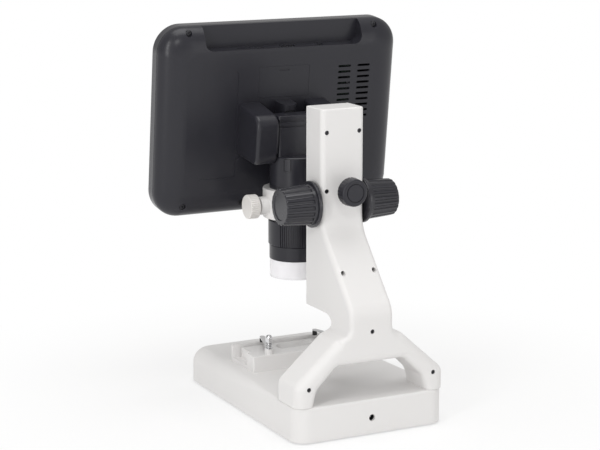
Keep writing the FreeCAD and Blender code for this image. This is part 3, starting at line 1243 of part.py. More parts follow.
def make_bezel():
    """Front frame of the display with the glass opening and the keys' openings."""
    body = new_part("display_bezel")
    on_panel(body)
    pad(body, "bezel_block", "XZ", "-panel_front", "bezel_back", [panel_outline("0")])
    rim = edges_where(body, lambda a, b, spot: a.y < -0.99 and abs(b.y) < 0.01)
    round_edges(body, "bezel_rounding", "1.5", rim)
    pocket(body, "bezel_hollow", "XZ", "panel_wall - panel_front", "bezel_back",
           [panel_outline("panel_wall")])
    pocket(body, "bezel_window", "XZ", "-panel_front - 1", "bezel_back",
           [box("-view_width / 2 - 2", "view_middle - view_height / 2 - 2",
                "view_width / 2 + 2", "view_middle + view_height / 2 + 2", "2")])
    for index in range(5):
        middle = "(%d * key_pitch)" % (index - 2)
        pocket(body, "bezel_key_%d" % (index + 1), "XZ", "-panel_front - 1",
               "panel_wall - panel_front + 1",
               [box(middle + " - key_width / 2 - 0.3", "key_level - key_height / 2 - 0.3",
                    middle + " + key_width / 2 + 0.3", "key_level + key_height / 2 + 0.3",
                    "1.3")])
    for name, x, level, deep in display_screws():
        near = "bezel_back - 4" if name == "high" else "panel_wall - panel_front - 0.5"
        pad(body, "bezel_boss_" + name, "XZ", near, "bezel_back", pair(x, level, "3.4"))
        pocket(body, "bezel_pilot_" + name, "XZ", "bezel_back - 3.4", "bezel_back",
               pair(x, level, "small_shank + screw_play"))


def display_screws():
    """Screws of the display's back: name, distance from the middle, height, seat."""
    return [("high", "96", "panel_rise + 85.6", "panel_back - 9"),
            ("low", "98", "panel_rise - 78.5", "panel_back - 5"),
            ("middle", "38", "panel_rise - 79", "panel_back - 5")]


def make_rear_shell():
    """Rear shell: rounded rim, yoke with its post, port bay, vents and recesses."""
    body = new_part("rear_shell")
    on_panel(body)
    deep = "(panel_back - shell_front)"
    sections = []
    for share in (0, 0.4, 0.68, 0.87, 0.97, 1):
        inset = "(shell_inset * (1 - sqrt(1 - %s ^ 2)))" % share
        sections.append(("shell_front + %s * %s" % (share, deep), [panel_outline(inset)]))
    loft(body, "shell_form", "AdditiveLoft", "XZ", sections)
    top = "bay_level - panel_wall"
    pocket(body, "shell_hollow_low", "XZ", "shell_front - 1", "shell_front + 4.8",
           [box("-(panel_half - 4.8)", "panel_low + 4.8", "panel_half - 4.8", top, "12")])
    pocket(body, "shell_hollow", "XZ", "shell_front", "panel_back - panel_wall",
           [box("-97", "panel_rise - 66", "97", top, "5")])
    side = [("panel_back - 2", "-cheek_bottom"), ("cheek_rear", "-cheek_bottom", "10"),
            ("cheek_rear", "cheek_top - 4.4", "13"), ("panel_back - 2", "cheek_top")]
    pad(body, "yoke_left", "YZ", "cheek_inner", "cheek_outer", [side])
    pad(body, "yoke_right", "YZ", "-cheek_outer", "-cheek_inner", [side])

    def cheek_rim(flank, other, spot):
        plain = abs(abs(flank.x) - 1) < 0.01 and abs(other.x) < 0.02
        return plain and spot.y > num("panel_back") + 0.5

    def along_bottom(spot):
        return spot.z < 0.1 - num("cheek_bottom") and abs(spot.x) < num("cheek_inner") + 0.1

    outer = edges_where(body, lambda a, b, spot: cheek_rim(a, b, spot)
                        and abs(spot.x) > num("cheek_outer") - 0.1)
    round_edges(body, "yoke_outer_rounding", "3.5", outer)
    inner = edges_where(body, lambda a, b, spot: cheek_rim(a, b, spot)
                        and abs(spot.x) < num("cheek_inner") + 0.1)
    round_edges(body, "yoke_inner_rounding", "3", inner)
    nose = [("-post_half", "panel_back - 2"), ("post_half", "panel_back - 2"),
            ("post_half", "-11", "post_half - 0.1"), ("-post_half", "-11", "post_half - 0.1")]
    pad(body, "yoke_post", "XY", "-15", "cheek_top", [nose])
    pocket(body, "yoke_head_relief", "YZ", "0.5 - cheek_inner", "cheek_inner - 0.5",
           [("0", "0", "head_reach")])
    swing = [("-12", "-40"), ("28", "-40"), ("28", "0"), ("swing_radius", "0"),
             ("swing_radius", "-swing_radius", "swing_radius - 0.1"), ("-12", "-swing_radius")]
    pocket(body, "yoke_tube_relief", "YZ", "-tube_radius - swing_gap",
           "tube_radius + swing_gap", [swing])
    bore = [("0", "0", "pin_radius + running_gap")]
    pocket(body, "yoke_bore_left", "YZ", "cheek_inner - 1", "cheek_inner + 12", bore)
    pocket(body, "yoke_bore_right", "YZ", "-cheek_inner - 12", "1 - cheek_inner", bore)
    pocket(body, "port_bay", "XZ", "bay_wall", "panel_back + 1",
           [box("-bay_half", "bay_level", "bay_half", "panel_high + 12", "7.5")])
    pocket(body, "label_panel", "XZ", "panel_back - 0.4", "panel_back + 1",
           [box("47", "panel_rise - 53", "83", "panel_rise + 49", "1.5")])
    cover = [box("-battery_half - 0.15", "panel_rise + battery_low - 0.15",
                 "battery_half + 0.15", "panel_rise + battery_high + 0.15", "1.2")]
    pocket(body, "battery_seat", "XZ", "panel_back - 1.6", "panel_back + 1", cover)
    opening = [box("1.5 - battery_half", "panel_rise + battery_low + 1.5",
                   "battery_half - 1.5", "panel_rise + battery_high - 1.5", "1")]
    pocket(body, "battery_opening", "XZ", "panel_back - panel_wall - 1", "panel_back", opening)
    for name, x in (("near", "-vent_inner - vent_length"),
                    ("far", "-vent_inner - vent_length - vent_column")):
        level = "panel_rise + vent_top - (vent_rows - 1) * vent_pitch"
        slot = pocket(body, "vent_" + name, "XZ", "panel_back - panel_wall - 1",
                      "panel_back + 1",
                      [box(x, level + " - vent_height / 2", "(%s) + vent_length" % x,
                           level + " + vent_height / 2", "vent_height / 2 - 0.1")])
        along(body, "vents_" + name, slot, "Z", "vent_pitch", "vent_rows")
    for name, x, level, seat in display_screws():
        pocket(body, "sink_" + name, "XZ", seat, "panel_back + 2", pair(x, level, "3"))
        pocket(body, "hole_" + name, "XZ", "shell_front - 1", seat,
               pair(x, level, "small_shank + screw_play"))
    for name, x, half_width, half_depth in ports():
        pocket(body, "port_hole_" + name, "XY", "bay_level - panel_wall - 1", "bay_level + 1",
               [box("%s - %s" % (x, half_width), "port_line - %s" % half_depth,
                    "%s + %s" % (x, half_width), "port_line + %s" % half_depth, "0.6")])
    pad(body, "board_pillars", "XZ", "board_back", "panel_back - 1.5",
        four("70", ("panel_rise + 33", "panel_rise - 45"), "3"))


def ports():
    """Sockets in the bay's ledge: name, place, half width, half depth."""
    return [("card", "40", "7", "1.4"), ("usb", "24", "4.8", "2"),
            ("video", "-5", "7.6", "2.8"), ("audio", "-39", "3.2", "2.9")]


def make_port_sockets():
    """Metal sockets under the ledge, on the main board's upper edge."""
    body = new_part("port_sockets")
    on_panel(body)
    for name, x, half_width, half_depth in ports():
        gap = "0.25"
        ring = [box("%s - %s + %s" % (x, half_width, gap), "port_line - %s + %s" % (half_depth, gap),
                    "%s + %s - %s" % (x, half_width, gap), "port_line + %s - %s" % (half_depth, gap),
                    "0.4")]
        pad(body, "socket_" + name, "XY", "bay_level - 11", "bay_level - 0.6", ring)
        inner = [box("%s - %s + 0.8" % (x, half_width), "port_line - %s + 0.8" % half_depth,
                     "%s + %s - 0.8" % (x, half_width), "port_line + %s - 0.8" % half_depth,
                     "0.2")]
        pocket(body, "socket_bore_" + name, "XY", "bay_level - 9", "bay_level", inner)


def make_display_inside():
    """Cover glass, picture panel, main board, battery and its cover, screws and keys."""
    glass = new_part("cover_glass")
    on_panel(glass)
    pad(glass, "glass_sheet", "XZ", "-panel_front", "glass_depth - panel_front",
        [box("-view_width / 2 - 1.85", "view_middle - view_height / 2 - 1.85",
             "view_width / 2 + 1.85", "view_middle + view_height / 2 + 1.85", "1.9")])
    panel = new_part("picture_panel")
    on_panel(panel)
    pad(panel, "panel_sheet", "XZ", "panel_wall - panel_front",
        "panel_wall - panel_front + picture_depth",
        [box("-view_width / 2 - picture_margin",
             "view_middle - view_height / 2 - picture_margin",
             "view_width / 2 + picture_margin",
             "view_middle + view_height / 2 + picture_margin", "picture_corner")])
    board = new_part("main_board")
    on_panel(board)
    pad(board, "board_sheet_main", "XZ", "board_back - 1.6", "board_back",
        [box("-80", "panel_rise - 50", "80", "bay_level - 11", "2")])
    pad(board, "board_chip", "XZ", "board_back", "board_back + 2",
        [box("-12", "panel_rise - 22", "12", "panel_rise + 2")])
    pad(board, "board_port_strip", "XZ", "board_back", "port_line",
        [box("-46", "bay_level - 14", "50", "bay_level - 11")])
    cell = new_part("battery")
    on_panel(cell)
    pad(cell, "battery_block", "XZ", "panel_back - 9.7", "panel_back - 1.7",
        [box("2 - battery_half", "panel_rise + battery_low + 2",
             "battery_half - 2", "panel_rise + battery_high - 2", "1.5")])
    cover = new_part("battery_cover")
    on_panel(cover)
    pad(cover, "battery_cover_sheet", "XZ", "panel_back - 1.6", "panel_back - 0.1",
        [box("-battery_half", "panel_rise + battery_low", "battery_half",
             "panel_rise + battery_high", "1.1")])
    pocket(cover, "battery_cover_grip", "XZ", "panel_back - 0.8", "panel_back",
           [box("-5", "panel_rise + battery_high - 4.5", "5", "panel_rise + battery_high - 2.5",
                "0.9")])
    screws = new_part("display_screws")
    on_panel(screws)
    for name, x, level, seat in display_screws():
        pad(screws, "display_head_" + name, "XZ", seat, "(%s) + 1.6" % seat,
            pair(x, level, "2.5"))
        pad(screws, "display_shank_" + name, "XZ", "bezel_back - 3.2", seat,
            pair(x, level, "small_shank"))
    for index in range(5):
        key = new_part("key_%d" % (index + 1))
        on_panel(key)
        middle = "(%d * key_pitch)" % (index - 2)
        pad(key, "key_cap_%d" % (index + 1), "XZ", "-panel_front - key_travel - 0.2",
            "panel_wall - panel_front + 0.2",
            [box(middle + " - key_width / 2", "key_level - key_height / 2",
                 middle + " + key_width / 2", "key_level + key_height / 2", "1")])
        pad(key, "key_flange_%d" % (index + 1), "XZ", "panel_wall - panel_front + 0.1",
            "panel_wall - panel_front + 1.3",
            [box(middle + " - key_width / 2 - 1", "key_level - key_height / 2 - 1",
                 middle + " + key_width / 2 + 1", "key_level + key_height / 2 + 1")])


for make in (make_base_shell, make_base_underside, make_base_inside, make_column,
             make_column_screws, make_column_inside, make_stage, make_springs, make_clips,
             make_drive, make_knobs, make_lock, make_carriage, make_thumb_screw, make_tube,
             make_head, make_bezel, make_rear_shell, make_port_sockets, make_display_inside):
    make()
doc.recompute()

broken = [item.Name for item in doc.Objects if "Invalid" in item.State or "Error" in item.State]
if broken:
    raise RuntimeError("features that failed: " + ", ".join(broken))
os.makedirs("parts", exist_ok=True)
for node in NODES:
    if node.Shape.isNull() or not node.Shape.isValid() or not node.Shape.Solids:
        raise RuntimeError(node.Label + " has no valid shape")
    node.Shape.exportStep("parts/" + node.Label + ".step")
    print(node.Label, len(node.Shape.Solids), round(node.Shape.Volume))
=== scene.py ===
# %% [markdown]
# # A digital microscope on its stand
#
# The scene starts from the imported solids, which are the fixed frame: every node already lies where
# it belongs. This script gives each node its material, adds the small things that repeat or follow
# a path, lights the result and sets up a camera on it. All lengths are metres.

# %% Load the frame
import json
import math
import bmesh
import bpy
from mathutils import Matrix, Vector
from mathutils.geometry import tessellate_polygon


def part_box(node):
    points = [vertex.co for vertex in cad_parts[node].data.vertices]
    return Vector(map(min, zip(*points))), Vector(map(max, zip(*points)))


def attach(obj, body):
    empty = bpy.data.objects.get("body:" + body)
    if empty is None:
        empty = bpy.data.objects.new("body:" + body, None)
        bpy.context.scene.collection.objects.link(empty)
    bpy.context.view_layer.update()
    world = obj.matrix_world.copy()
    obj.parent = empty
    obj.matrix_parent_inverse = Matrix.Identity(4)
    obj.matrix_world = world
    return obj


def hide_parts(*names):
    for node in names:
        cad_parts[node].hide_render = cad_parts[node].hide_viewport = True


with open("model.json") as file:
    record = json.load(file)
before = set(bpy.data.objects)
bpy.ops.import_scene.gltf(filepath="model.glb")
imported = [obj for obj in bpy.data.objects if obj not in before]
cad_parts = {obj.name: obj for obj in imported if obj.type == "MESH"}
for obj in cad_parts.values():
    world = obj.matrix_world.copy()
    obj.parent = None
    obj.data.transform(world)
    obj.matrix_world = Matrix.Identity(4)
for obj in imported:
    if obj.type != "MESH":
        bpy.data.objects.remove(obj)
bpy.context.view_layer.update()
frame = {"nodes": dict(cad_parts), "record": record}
nodes = frame["nodes"]
MM = 0.001
PIVOT = Vector((0.0, -0.030, 0.251))
TILT = math.radians(6.86)
print("nodes", len(nodes))

# %% [markdown]
# ## Shader arithmetic
#
# A node tree that mixes noises is easier to read as a formula. `Value` wraps one socket, so sums
# and products of sockets make the Math nodes, and `node` makes any other node.

# %% A socket that can be added and multiplied


class Value:
    """One output socket of a shader tree, usable in formulas."""

    def __init__(self, tree, socket):
        self.tree = tree
        self.socket = socket

    def node(self, kind, inputs=(), output=0, **settings):
        """Make a node, set it up, link or set its inputs, and wrap one of its outputs."""
        made = self.tree.nodes.new(kind)
        for key, setting in settings.items():
            setattr(made, key, setting)
        for key, given in dict(inputs).items():
            if isinstance(given, Value):
                self.tree.links.new(given.socket, made.inputs[key])
            else:
                made.inputs[key].default_value = given
        return Value(self.tree, made.outputs[output])

    def maths(self, operation, first, second):
        return self.node("ShaderNodeMath", {0: first, 1: second}, operation=operation)

    def __add__(self, other):
        return self.maths("ADD", self, other)

    def __radd__(self, other):
        return self.maths("ADD", other, self)

    def __sub__(self, other):
        return self.maths("SUBTRACT", self, other)

    def __rsub__(self, other):
        return self.maths("SUBTRACT", other, self)

    def __mul__(self, other):
        return self.maths("MULTIPLY", self, other)

    def __rmul__(self, other):
        return self.maths("MULTIPLY", other, self)

    def above(self, low, high):
        """0 below the low limit, 1 over the high one."""
        return self.node("ShaderNodeMapRange", {0: self, 1: low, 2: high, 3: 0.0, 4: 1.0})


def new_tree(name):
    """A material with its shader, and the place on the object as a Value."""
    made = bpy.data.materials.new(name)
    made.use_nodes = True
    tree = made.node_tree
    place = Value(tree, tree.nodes.new("ShaderNodeTexCoord").outputs["Object"])
    return made, tree.nodes["Principled BSDF"], place


def feed(shader, name, value):
    """Link a Value to one of the shader's sockets."""
    value.tree.links.new(value.socket, shader.inputs[name])


def noise(place, scale, detail=2.0, roughness=0.5):
    """Noise between 0 and 1 at a number of features per metre."""
    inputs = {"Vector": place, "Scale": scale, "Detail": detail, "Roughness": roughness}
    return place.node("ShaderNodeTexNoise", inputs)


# %% [markdown]
# ## Materials
#
# Every opaque material has the same plan. Broad noise shifts the colour by a few per cent and the
# roughness a little, as handling does. Fine noise is the grain of the mould, as a bump. Thin
# stretched noise leaves faint rubs where hands and cloths go.

# %% One builder for all the opaque materials
GRAIN_DEPTH = 0.06 * MM


def surface(name, colour, rough, metal=0.0, grain=0.0, grain_scale=2600.0, tint=0.03,
            rubs=0.25, spread=0.06, stretch=(1, 1, 1), gloss=0.5):
    """A solid material with colour variation, grain and faint rubs."""
    made, shader, place = new_tree(name)
    stretched = place.node("ShaderNodeMapping", {"Vector": place, "Scale": stretch})
    broad = noise(place, 34.0, 3.0)
    fine = noise(stretched, grain_scale, 2.0)
    rub_place = place.node("ShaderNodeMapping", {"Vector": place, "Scale": (1.0, 1.0, 0.18)})
    rub = noise(rub_place, 420.0, 4.0, 0.65).above(0.6, 0.78) * noise(place, 60.0).above(0.5, 0.7)
    shade = 1.0 + (broad - 0.5) * (2 * tint) + (fine - 0.5) * tint
    feed(shader, "Base Color",
         place.node("ShaderNodeMix", {"Factor": 1.0, "A": (*colour, 1.0), "B": shade},
                    output=2, data_type="RGBA", blend_type="MULTIPLY"))
    feed(shader, "Roughness", rough + (broad - 0.5) * (2 * spread) + rub * (rubs * 0.3))
    shader.inputs["Metallic"].default_value = metal
    shader.inputs["Specular IOR Level"].default_value = gloss
    bump = {"Strength": grain, "Distance": GRAIN_DEPTH, "Height": fine}
    feed(shader, "Normal", place.node("ShaderNodeBump", bump))
    return made


# %% [markdown]
# The skirt round the lens is frosted clear plastic, the cover glass is smoked. Both let part of
# the light straight through. That share is the Alpha, which is cheaper than refraction, keeps its
# look in the exported model and shows what lies behind. The skirt's polished lower rim is clearer
# than its frosted wall, so its Alpha falls near the rim's height.

# %% Clear materials


def clear(name, tint, rough, index, mix, wash_by=0.06, rim=None):
    """A transparent material: part of the light passes straight through, the rest is glossy."""
    made, shader, place = new_tree(name)
    wash = noise(place, 120.0, 3.0)
    shader.inputs["Base Color"].default_value = (*tint, 1.0)
    shader.inputs["IOR"].default_value = index
    feed(shader, "Roughness", rough + (wash - 0.5) * 0.04)
    share = mix + (wash - 0.5) * wash_by
    if rim:
        height = place.node("ShaderNodeSeparateXYZ", {0: place}, output=2)
        share = share - (1 - height.above(rim, rim + 2.5 * MM)) * 0.3
    feed(shader, "Alpha", share)
    return made


# %% [markdown]
# The microscope has two main plastics. The stand is white with a satin surface, which hardly shows
# a reflection. The camera and the display are a black that is a little blue, smooth enough for a
# lamp to draw a line along each rounded edge. A white of 0.77 and a black of 0.02 leave room for
# light and shadow on both sides, where 1 and 0 would look flat.

# %% The finishes, one for each slot of the record
WHITE = (0.765, 0.753, 0.745)
BLACK = (0.021, 0.0207, 0.0268)
looks = {
    "white_plastic": surface("white_plastic_look", WHITE, 0.42, grain=0.12, tint=0.008, rubs=0.2),
    "black_plastic": surface("black_plastic_look", BLACK, 0.30, grain=0.2, tint=0.06, rubs=0.4,
                             gloss=0.36),
    "black_gloss": surface("black_gloss_look", BLACK, 0.23, grain=0.08, tint=0.05, rubs=0.4,
                           gloss=0.55),
    "cream_plastic": surface("cream_plastic_look", (0.76, 0.735, 0.71), 0.35, grain=0.08,
                             tint=0.012),
    "diffuser": surface("diffuser_look", (0.85, 0.86, 0.85), 0.5, grain=0.05, tint=0.01),
    "steel": surface("steel_look", (0.42, 0.42, 0.43), 0.28, metal=1.0, grain=0.1,
                     stretch=(0.2, 1, 1)),
    "chrome_steel": surface("chrome_look", (0.72, 0.72, 0.73), 0.12, metal=1.0, grain=0.03),
    "brass": surface("brass_look", (0.62, 0.44, 0.17), 0.3, metal=1.0, grain=0.08),
    "rubber": surface("rubber_look", (0.012, 0.012, 0.013), 0.62, grain=0.4, tint=0.1),
    "circuit_board": surface("board_look", (0.008, 0.035, 0.018), 0.4, grain=0.15, tint=0.1),
    "cell_wrap": surface("cell_look", (0.03, 0.05, 0.2), 0.3, grain=0.05, tint=0.05),
    "clear_plastic": clear("clear_look", (0.96, 0.95, 0.975), 0.24, 1.49, 0.92, 0.12,
                           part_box("light_skirt")[0].z),
    "glass": clear("glass_look", (0.05, 0.055, 0.07), 0.05, 1.52, 0.75),
}
# The screws are a near-black steel. Their darkness is partly painted shade, standing in for the
# shade deep in their holes.
steel_dark_for_painted_hole_shade = surface("steel_dark_for_painted_hole_shade_look", (0.055, 0.055, 0.06), 0.36, metal=0.9, grain=0.1)
print("materials", len(looks))

# %% [markdown]
# The frame's record says which slot each node belongs to, so one loop dresses them all.

# %% Give every node the material of its slot
for part in frame["record"]["subparts"]:
    mesh = nodes[part["node"]].data
    mesh.materials.clear()
    mesh.materials.append(looks[part["material_slot"]])

# %% [markdown]
# ## From loose faces to an object
#
# Most small pieces are built point by point in a bmesh, which is Blender's own list of vertices and
# faces. Spheres and cylinders from the menu could be joined and cut instead, but a list gives exact
# sizes and clean closed forms. When a form is complete, its normals are made to point outwards, and
# it becomes an object at the origin, so its place is in its mesh.

# %% Keep a bmesh as an object


def keep(name, mesh, finish=None):
    """An object at the origin from a bmesh, which is freed."""
    bmesh.ops.recalc_face_normals(mesh, faces=mesh.faces)
    data = bpy.data.meshes.new(name)
    mesh.to_mesh(data)
    mesh.free()
    if finish:
        data.materials.append(finish)
    made = bpy.data.objects.new(name, data)
    bpy.context.scene.collection.objects.link(made)
    return made


def dress(piece, body, instead_of=None):
    """Say what a finished piece rides on, and hide the node it stands for."""
    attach(piece, body)
    if instead_of:
        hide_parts(instead_of)


# %% [markdown]
# ## Growing pieces with Geometry Nodes
#
# Screws, lamps and contacts are the same small thing put down many times. One node tree does that:
# it takes points and a template, turns every copy the same way, spins each one about its own axis
# by a seeded random angle, and ends in real geometry, so the copies are an ordinary mesh.

# %% [markdown]
# To know where the copies go, a node's mesh is taken apart into its separate solids. Walking from
# vertex to vertex along the edges finds one solid at a time, and its box gives place and length.

# %% Find the separate solids of a CAD node


def solids(name, turned=Matrix()):
    """The box of each separate solid of a node, measured in a turned frame."""
    copy = bmesh.new()
    copy.from_mesh(nodes[name].data)
    bmesh.ops.remove_doubles(copy, verts=copy.verts, dist=2e-6)
    copy.transform(turned.inverted())
    left = set(copy.verts)
    boxes = []
    while left:
        queue = [left.pop()]
        found = []
        while queue:
            vert = queue.pop()
            found.append(vert.co.copy())
            for edge in vert.link_edges:
                other = edge.other_vert(vert)
                if other in left:
                    left.remove(other)
                    queue.append(other)
        low = Vector([min(point[axis] for point in found) for axis in range(3)])
        high = Vector([max(point[axis] for point in found) for axis in range(3)])
        boxes.append((low, high))
    copy.free()
    return sorted(boxes, key=lambda pair: tuple(round(value, 5) for value in pair[0]))


print("column screws", len(solids("column_screws")))

# %% [markdown]
# The tree itself is short: points, a copy on each, a spin, then real geometry and a material. Its
# inputs are named, so the same tree serves screws, lamp domes and contacts. A copy made in a Python
# loop would do the same, but the tree shows at a glance what is put where.

# %% The tree that puts copies on points


def placing_tree():
    """Copies of a piece on points: turned, spun at random, made real and given a material."""
    made = bpy.data.node_groups.new("place_copies", "GeometryNodeTree")
    for name, kind in (("Points", "NodeSocketGeometry"), ("Piece", "NodeSocketObject"),
                       ("Turn", "NodeSocketVector"), ("Spin", "NodeSocketFloat"),
                       ("Seed", "NodeSocketInt"), ("Finish", "NodeSocketMaterial")):
        made.interface.new_socket(name, in_out="INPUT", socket_type=kind)
    made.interface.new_socket("Copies", in_out="OUTPUT", socket_type="NodeSocketGeometry")
    given = made.nodes.new("NodeGroupInput")
    points = made.nodes.new("GeometryNodeMeshToPoints")
    piece = made.nodes.new("GeometryNodeObjectInfo")
    copies = made.nodes.new("GeometryNodeInstanceOnPoints")
    chance = made.nodes.new("FunctionNodeRandomValue")
    angle = made.nodes.new("ShaderNodeCombineXYZ")
    spun = made.nodes.new("GeometryNodeRotateInstances")
    real = made.nodes.new("GeometryNodeRealizeInstances")
    painted = made.nodes.new("GeometryNodeSetMaterial")
    result = made.nodes.new("NodeGroupOutput")
    chance.data_type = "FLOAT"
    link = made.links.new
    link(given.outputs["Points"], points.inputs["Mesh"])
    link(given.outputs["Piece"], piece.inputs["Object"])
    link(points.outputs["Points"], copies.inputs["Points"])
    link(piece.outputs["Geometry"], copies.inputs["Instance"])
    link(given.outputs["Turn"], copies.inputs["Rotation"])
    link(given.outputs["Spin"], chance.inputs[3])
    link(given.outputs["Seed"], chance.inputs["Seed"])
    link(chance.outputs[1], angle.inputs["Y"])
    link(copies.outputs["Instances"], spun.inputs["Instances"])
    link(angle.outputs["Vector"], spun.inputs["Rotation"])
    link(spun.outputs["Instances"], real.inputs["Geometry"])
    link(real.outputs["Geometry"], painted.inputs["Geometry"])
    link(given.outputs["Finish"], painted.inputs["Material"])
    link(painted.outputs["Geometry"], result.inputs["Copies"])
    return made


PLACING = placing_tree()


def copies_on(points, piece, finish, turn=(0, 0, 0), spin=0.0, seed=1):
    """Run the tree on a list of points and keep the result as plain mesh data."""
    spots = bpy.data.meshes.new("spots")
    spots.from_pydata([tuple(point) for point in points], [], [])
    carrier = bpy.data.objects.new("carrier", spots)
    bpy.context.scene.collection.objects.link(carrier)
    modifier = carrier.modifiers.new("copies", "NODES")
    modifier.node_group = PLACING
    values = {"Piece": piece, "Turn": turn, "Spin": spin, "Seed": seed, "Finish": finish}
    for item in PLACING.interface.items_tree:
        if item.in_out == "INPUT" and item.name in values:
            modifier[item.identifier] = values[item.name]
    graph = bpy.context.evaluated_depsgraph_get()
    made = bpy.data.meshes.new_from_object(carrier.evaluated_get(graph))
    carrier.modifiers.remove(modifier)
    bpy.data.objects.remove(carrier)
    return made


def join_meshes(name, meshes, finish, turned=Matrix()):
    """One object from several meshes, with its place in its mesh."""
    whole = bmesh.new()
    for mesh in meshes:
        whole.from_mesh(mesh)
    whole.transform(turned)
    data = bpy.data.meshes.new(name)
    whole.to_mesh(data)
    whole.free()
    data.materials.append(finish)
    piece = bpy.data.objects.new(name, data)
    bpy.context.scene.collection.objects.link(piece)
    return piece


# %% [markdown]
# ## Screws with a cross recess
#
# The heads sit deep in their holes, and what tells a screw from a plug there is its cross. The
# head's top is filled as one outline with a cross-shaped hole in it, and the cross goes down to a
# smaller floor. Each screw takes the place and length of its solid in the frame. The heads are a
# near-black steel, which partly paints the shade of the deep holes.

# %% One screw


def ring(mesh, radius, along, count):
    """A ring of points about the Y axis."""
    turns = [2 * math.pi * index / count for index in range(count)]
    return [mesh.verts.new((radius * math.cos(turn), along, radius * math.sin(turn)))
            for turn in turns]


def bridge(mesh, first, second):
    """Faces between two rings."""
    for index, vert in enumerate(first):
        after = (index + 1) % len(first)
        mesh.faces.new((vert, first[after], second[after], second[index]))


def screw_form(name, head, height, shank, length):
    """A pan-head screw along +Y whose head rests at y = 0."""
    mesh = bmesh.new()
    rounds = [(shank * 0.25, -length), (shank, -length + shank * 1.5), (shank, 0.0),
              (head, 0.0), (head, height * 0.5), (head * 0.94, height * 0.82),
              (head * 0.8, height)]
    rings = [ring(mesh, radius, along, 28) for radius, along in rounds]
    for first, second in zip(rings, rings[1:]):
        bridge(mesh, first, second)
    mesh.faces.new(rings[0])
    reach, half, depth = head * 0.58, head * 0.15, height * 0.6
    corners = [(reach, half), (half, half), (half, reach), (-half, reach), (-half, half),
               (-reach, half), (-reach, -half), (-half, -half), (-half, -reach),
               (half, -reach), (half, -half), (reach, -half)]
    edge = [mesh.verts.new((x, height, z)) for x, z in corners]
    floor = [mesh.verts.new((x * 0.6, height - depth, z * 0.6)) for x, z in corners]
    top = rings[-1] + edge
    outlines = [[vert.co for vert in rings[-1]], [vert.co for vert in edge]]
    for triple in tessellate_polygon(outlines):
        mesh.faces.new([top[index] for index in triple])
    bridge(mesh, edge, floor)
    mesh.faces.new(floor)
    return keep(name, mesh)


# %% [markdown]
# The frame already holds every screw as a plain solid, so a new screw only has to find the middle
# and the length of its solid. Screws of one length share a template. No two real screws stop at
# the same angle, so each cross is spun by chance, from a fixed seed.

# %% Put a screw on each solid of the four groups


def screws(node, body, axis, sign, head, height, shank, seed, turned=Matrix()):
    """Screws in the place of a node's solids, which lie along one axis of the turned frame."""
    turn = {(1, 1): (0, 0, 0), (2, -1): (-math.pi / 2, 0, 0)}[(axis, sign)]
    groups = {}
    for low, high in solids(node, turned):
        spot = (low + high) / 2
        far = high[axis] if sign > 0 else low[axis]
        spot[axis] = far - sign * height
        length = round((high - low)[axis] - height, 4)
        groups.setdefault(length, []).append(spot)
    meshes = []
    for number, (length, spots) in enumerate(sorted(groups.items())):
        template = screw_form("template", head, height, shank, length)
        meshes.append(copies_on(spots, template, steel_dark_for_painted_hole_shade, turn, 2 * math.pi,
                                seed + number))
        bpy.data.objects.remove(template)
    piece = join_meshes(node + "_crossed", meshes, steel_dark_for_painted_hole_shade, turned)
    dress(piece, body, node)
    print(piece.name, sum(len(spots) for spots in groups.values()), "screws")


PANEL = (Matrix.Translation(PIVOT) @ Matrix.Rotation(-TILT, 4, "X"))
screws("column_screws", "stand", 1, 1, 2.0 * MM, 1.3 * MM, 1.2 * MM, 11)
screws("display_screws", "display", 1, 1, 2.5 * MM, 1.6 * MM, 1.2 * MM, 23, PANEL)
screws("base_screws", "stand", 2, -1, 2.7 * MM, 1.9 * MM, 1.5 * MM, 37)
screws("arm_screws", "slide", 1, 1, 2.7 * MM, 1.9 * MM, 1.5 * MM, 41)

# %% [markdown]
# ## Threads
#
# The lock screw and the thumb screw are threaded where they pass their insert and their boss. A
# thread is a turned rod whose radius goes up and down once each turn and once each pitch, so one
# grid of points round the axis is enough: row after row goes along, and the radius follows the sum
# of the angle and the distance.

# %% A threaded rod in the place of a plain one
POINT = 0.25 * MM


def threaded(node, body, axis, pitch, depth, count=20, steps=6):
    """Replace a plain rod by one with a thread, with plain ends."""
    low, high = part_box(node)
    low, high = Vector(low), Vector(high)
    middle = (low + high) / 2
    across, upward = (axis + 1) % 3, (axis + 2) % 3
    radius = (high - low)[across] / 2
    length = (high - low)[axis]
    rows = int(length / pitch * steps)
    mesh = bmesh.new()
    rings = []
    for row in range(rows + 1):
        along = length * row / rows
        ends = min(1.0, along / pitch, (length - along) / pitch)
        verts = []
        for index in range(count):
            angle = 2 * math.pi * index / count
            phase = (along / pitch - index / count) % 1.0
            crest = abs(2 * phase - 1)
            reach = radius - depth * crest * ends - POINT * (1 - ends)
            place = [0.0, 0.0, 0.0]
            place[axis] = low[axis] + along
            place[across] = middle[across] + reach * math.cos(angle)
            place[upward] = middle[upward] + reach * math.sin(angle)
            verts.append(mesh.verts.new(place))
        rings.append(verts)
    for first, second in zip(rings, rings[1:]):
        bridge(mesh, first, second)
    mesh.faces.new(rings[0])
    mesh.faces.new(rings[-1])
    piece = keep(node + "_threaded", mesh, looks["steel"])
    dress(piece, body, node)
    print(piece.name, "pitch", pitch, "rows", rows)


threaded("lock_screw", "lock", 1, 1.0 * MM, 0.5 * MM)
threaded("thumb_shank", "clamp_screw", 0, 1.0 * MM, 0.5 * MM)

# %% [markdown]
# ## Lamps round the lens
#
# Eight white lamps sit on the ring board. Each is a small white box with a yellowish disc of
# phosphor in a shallow dish. The boxes are in the frame already; the discs are copies of one dome.

# %% Domes on the eight lamps


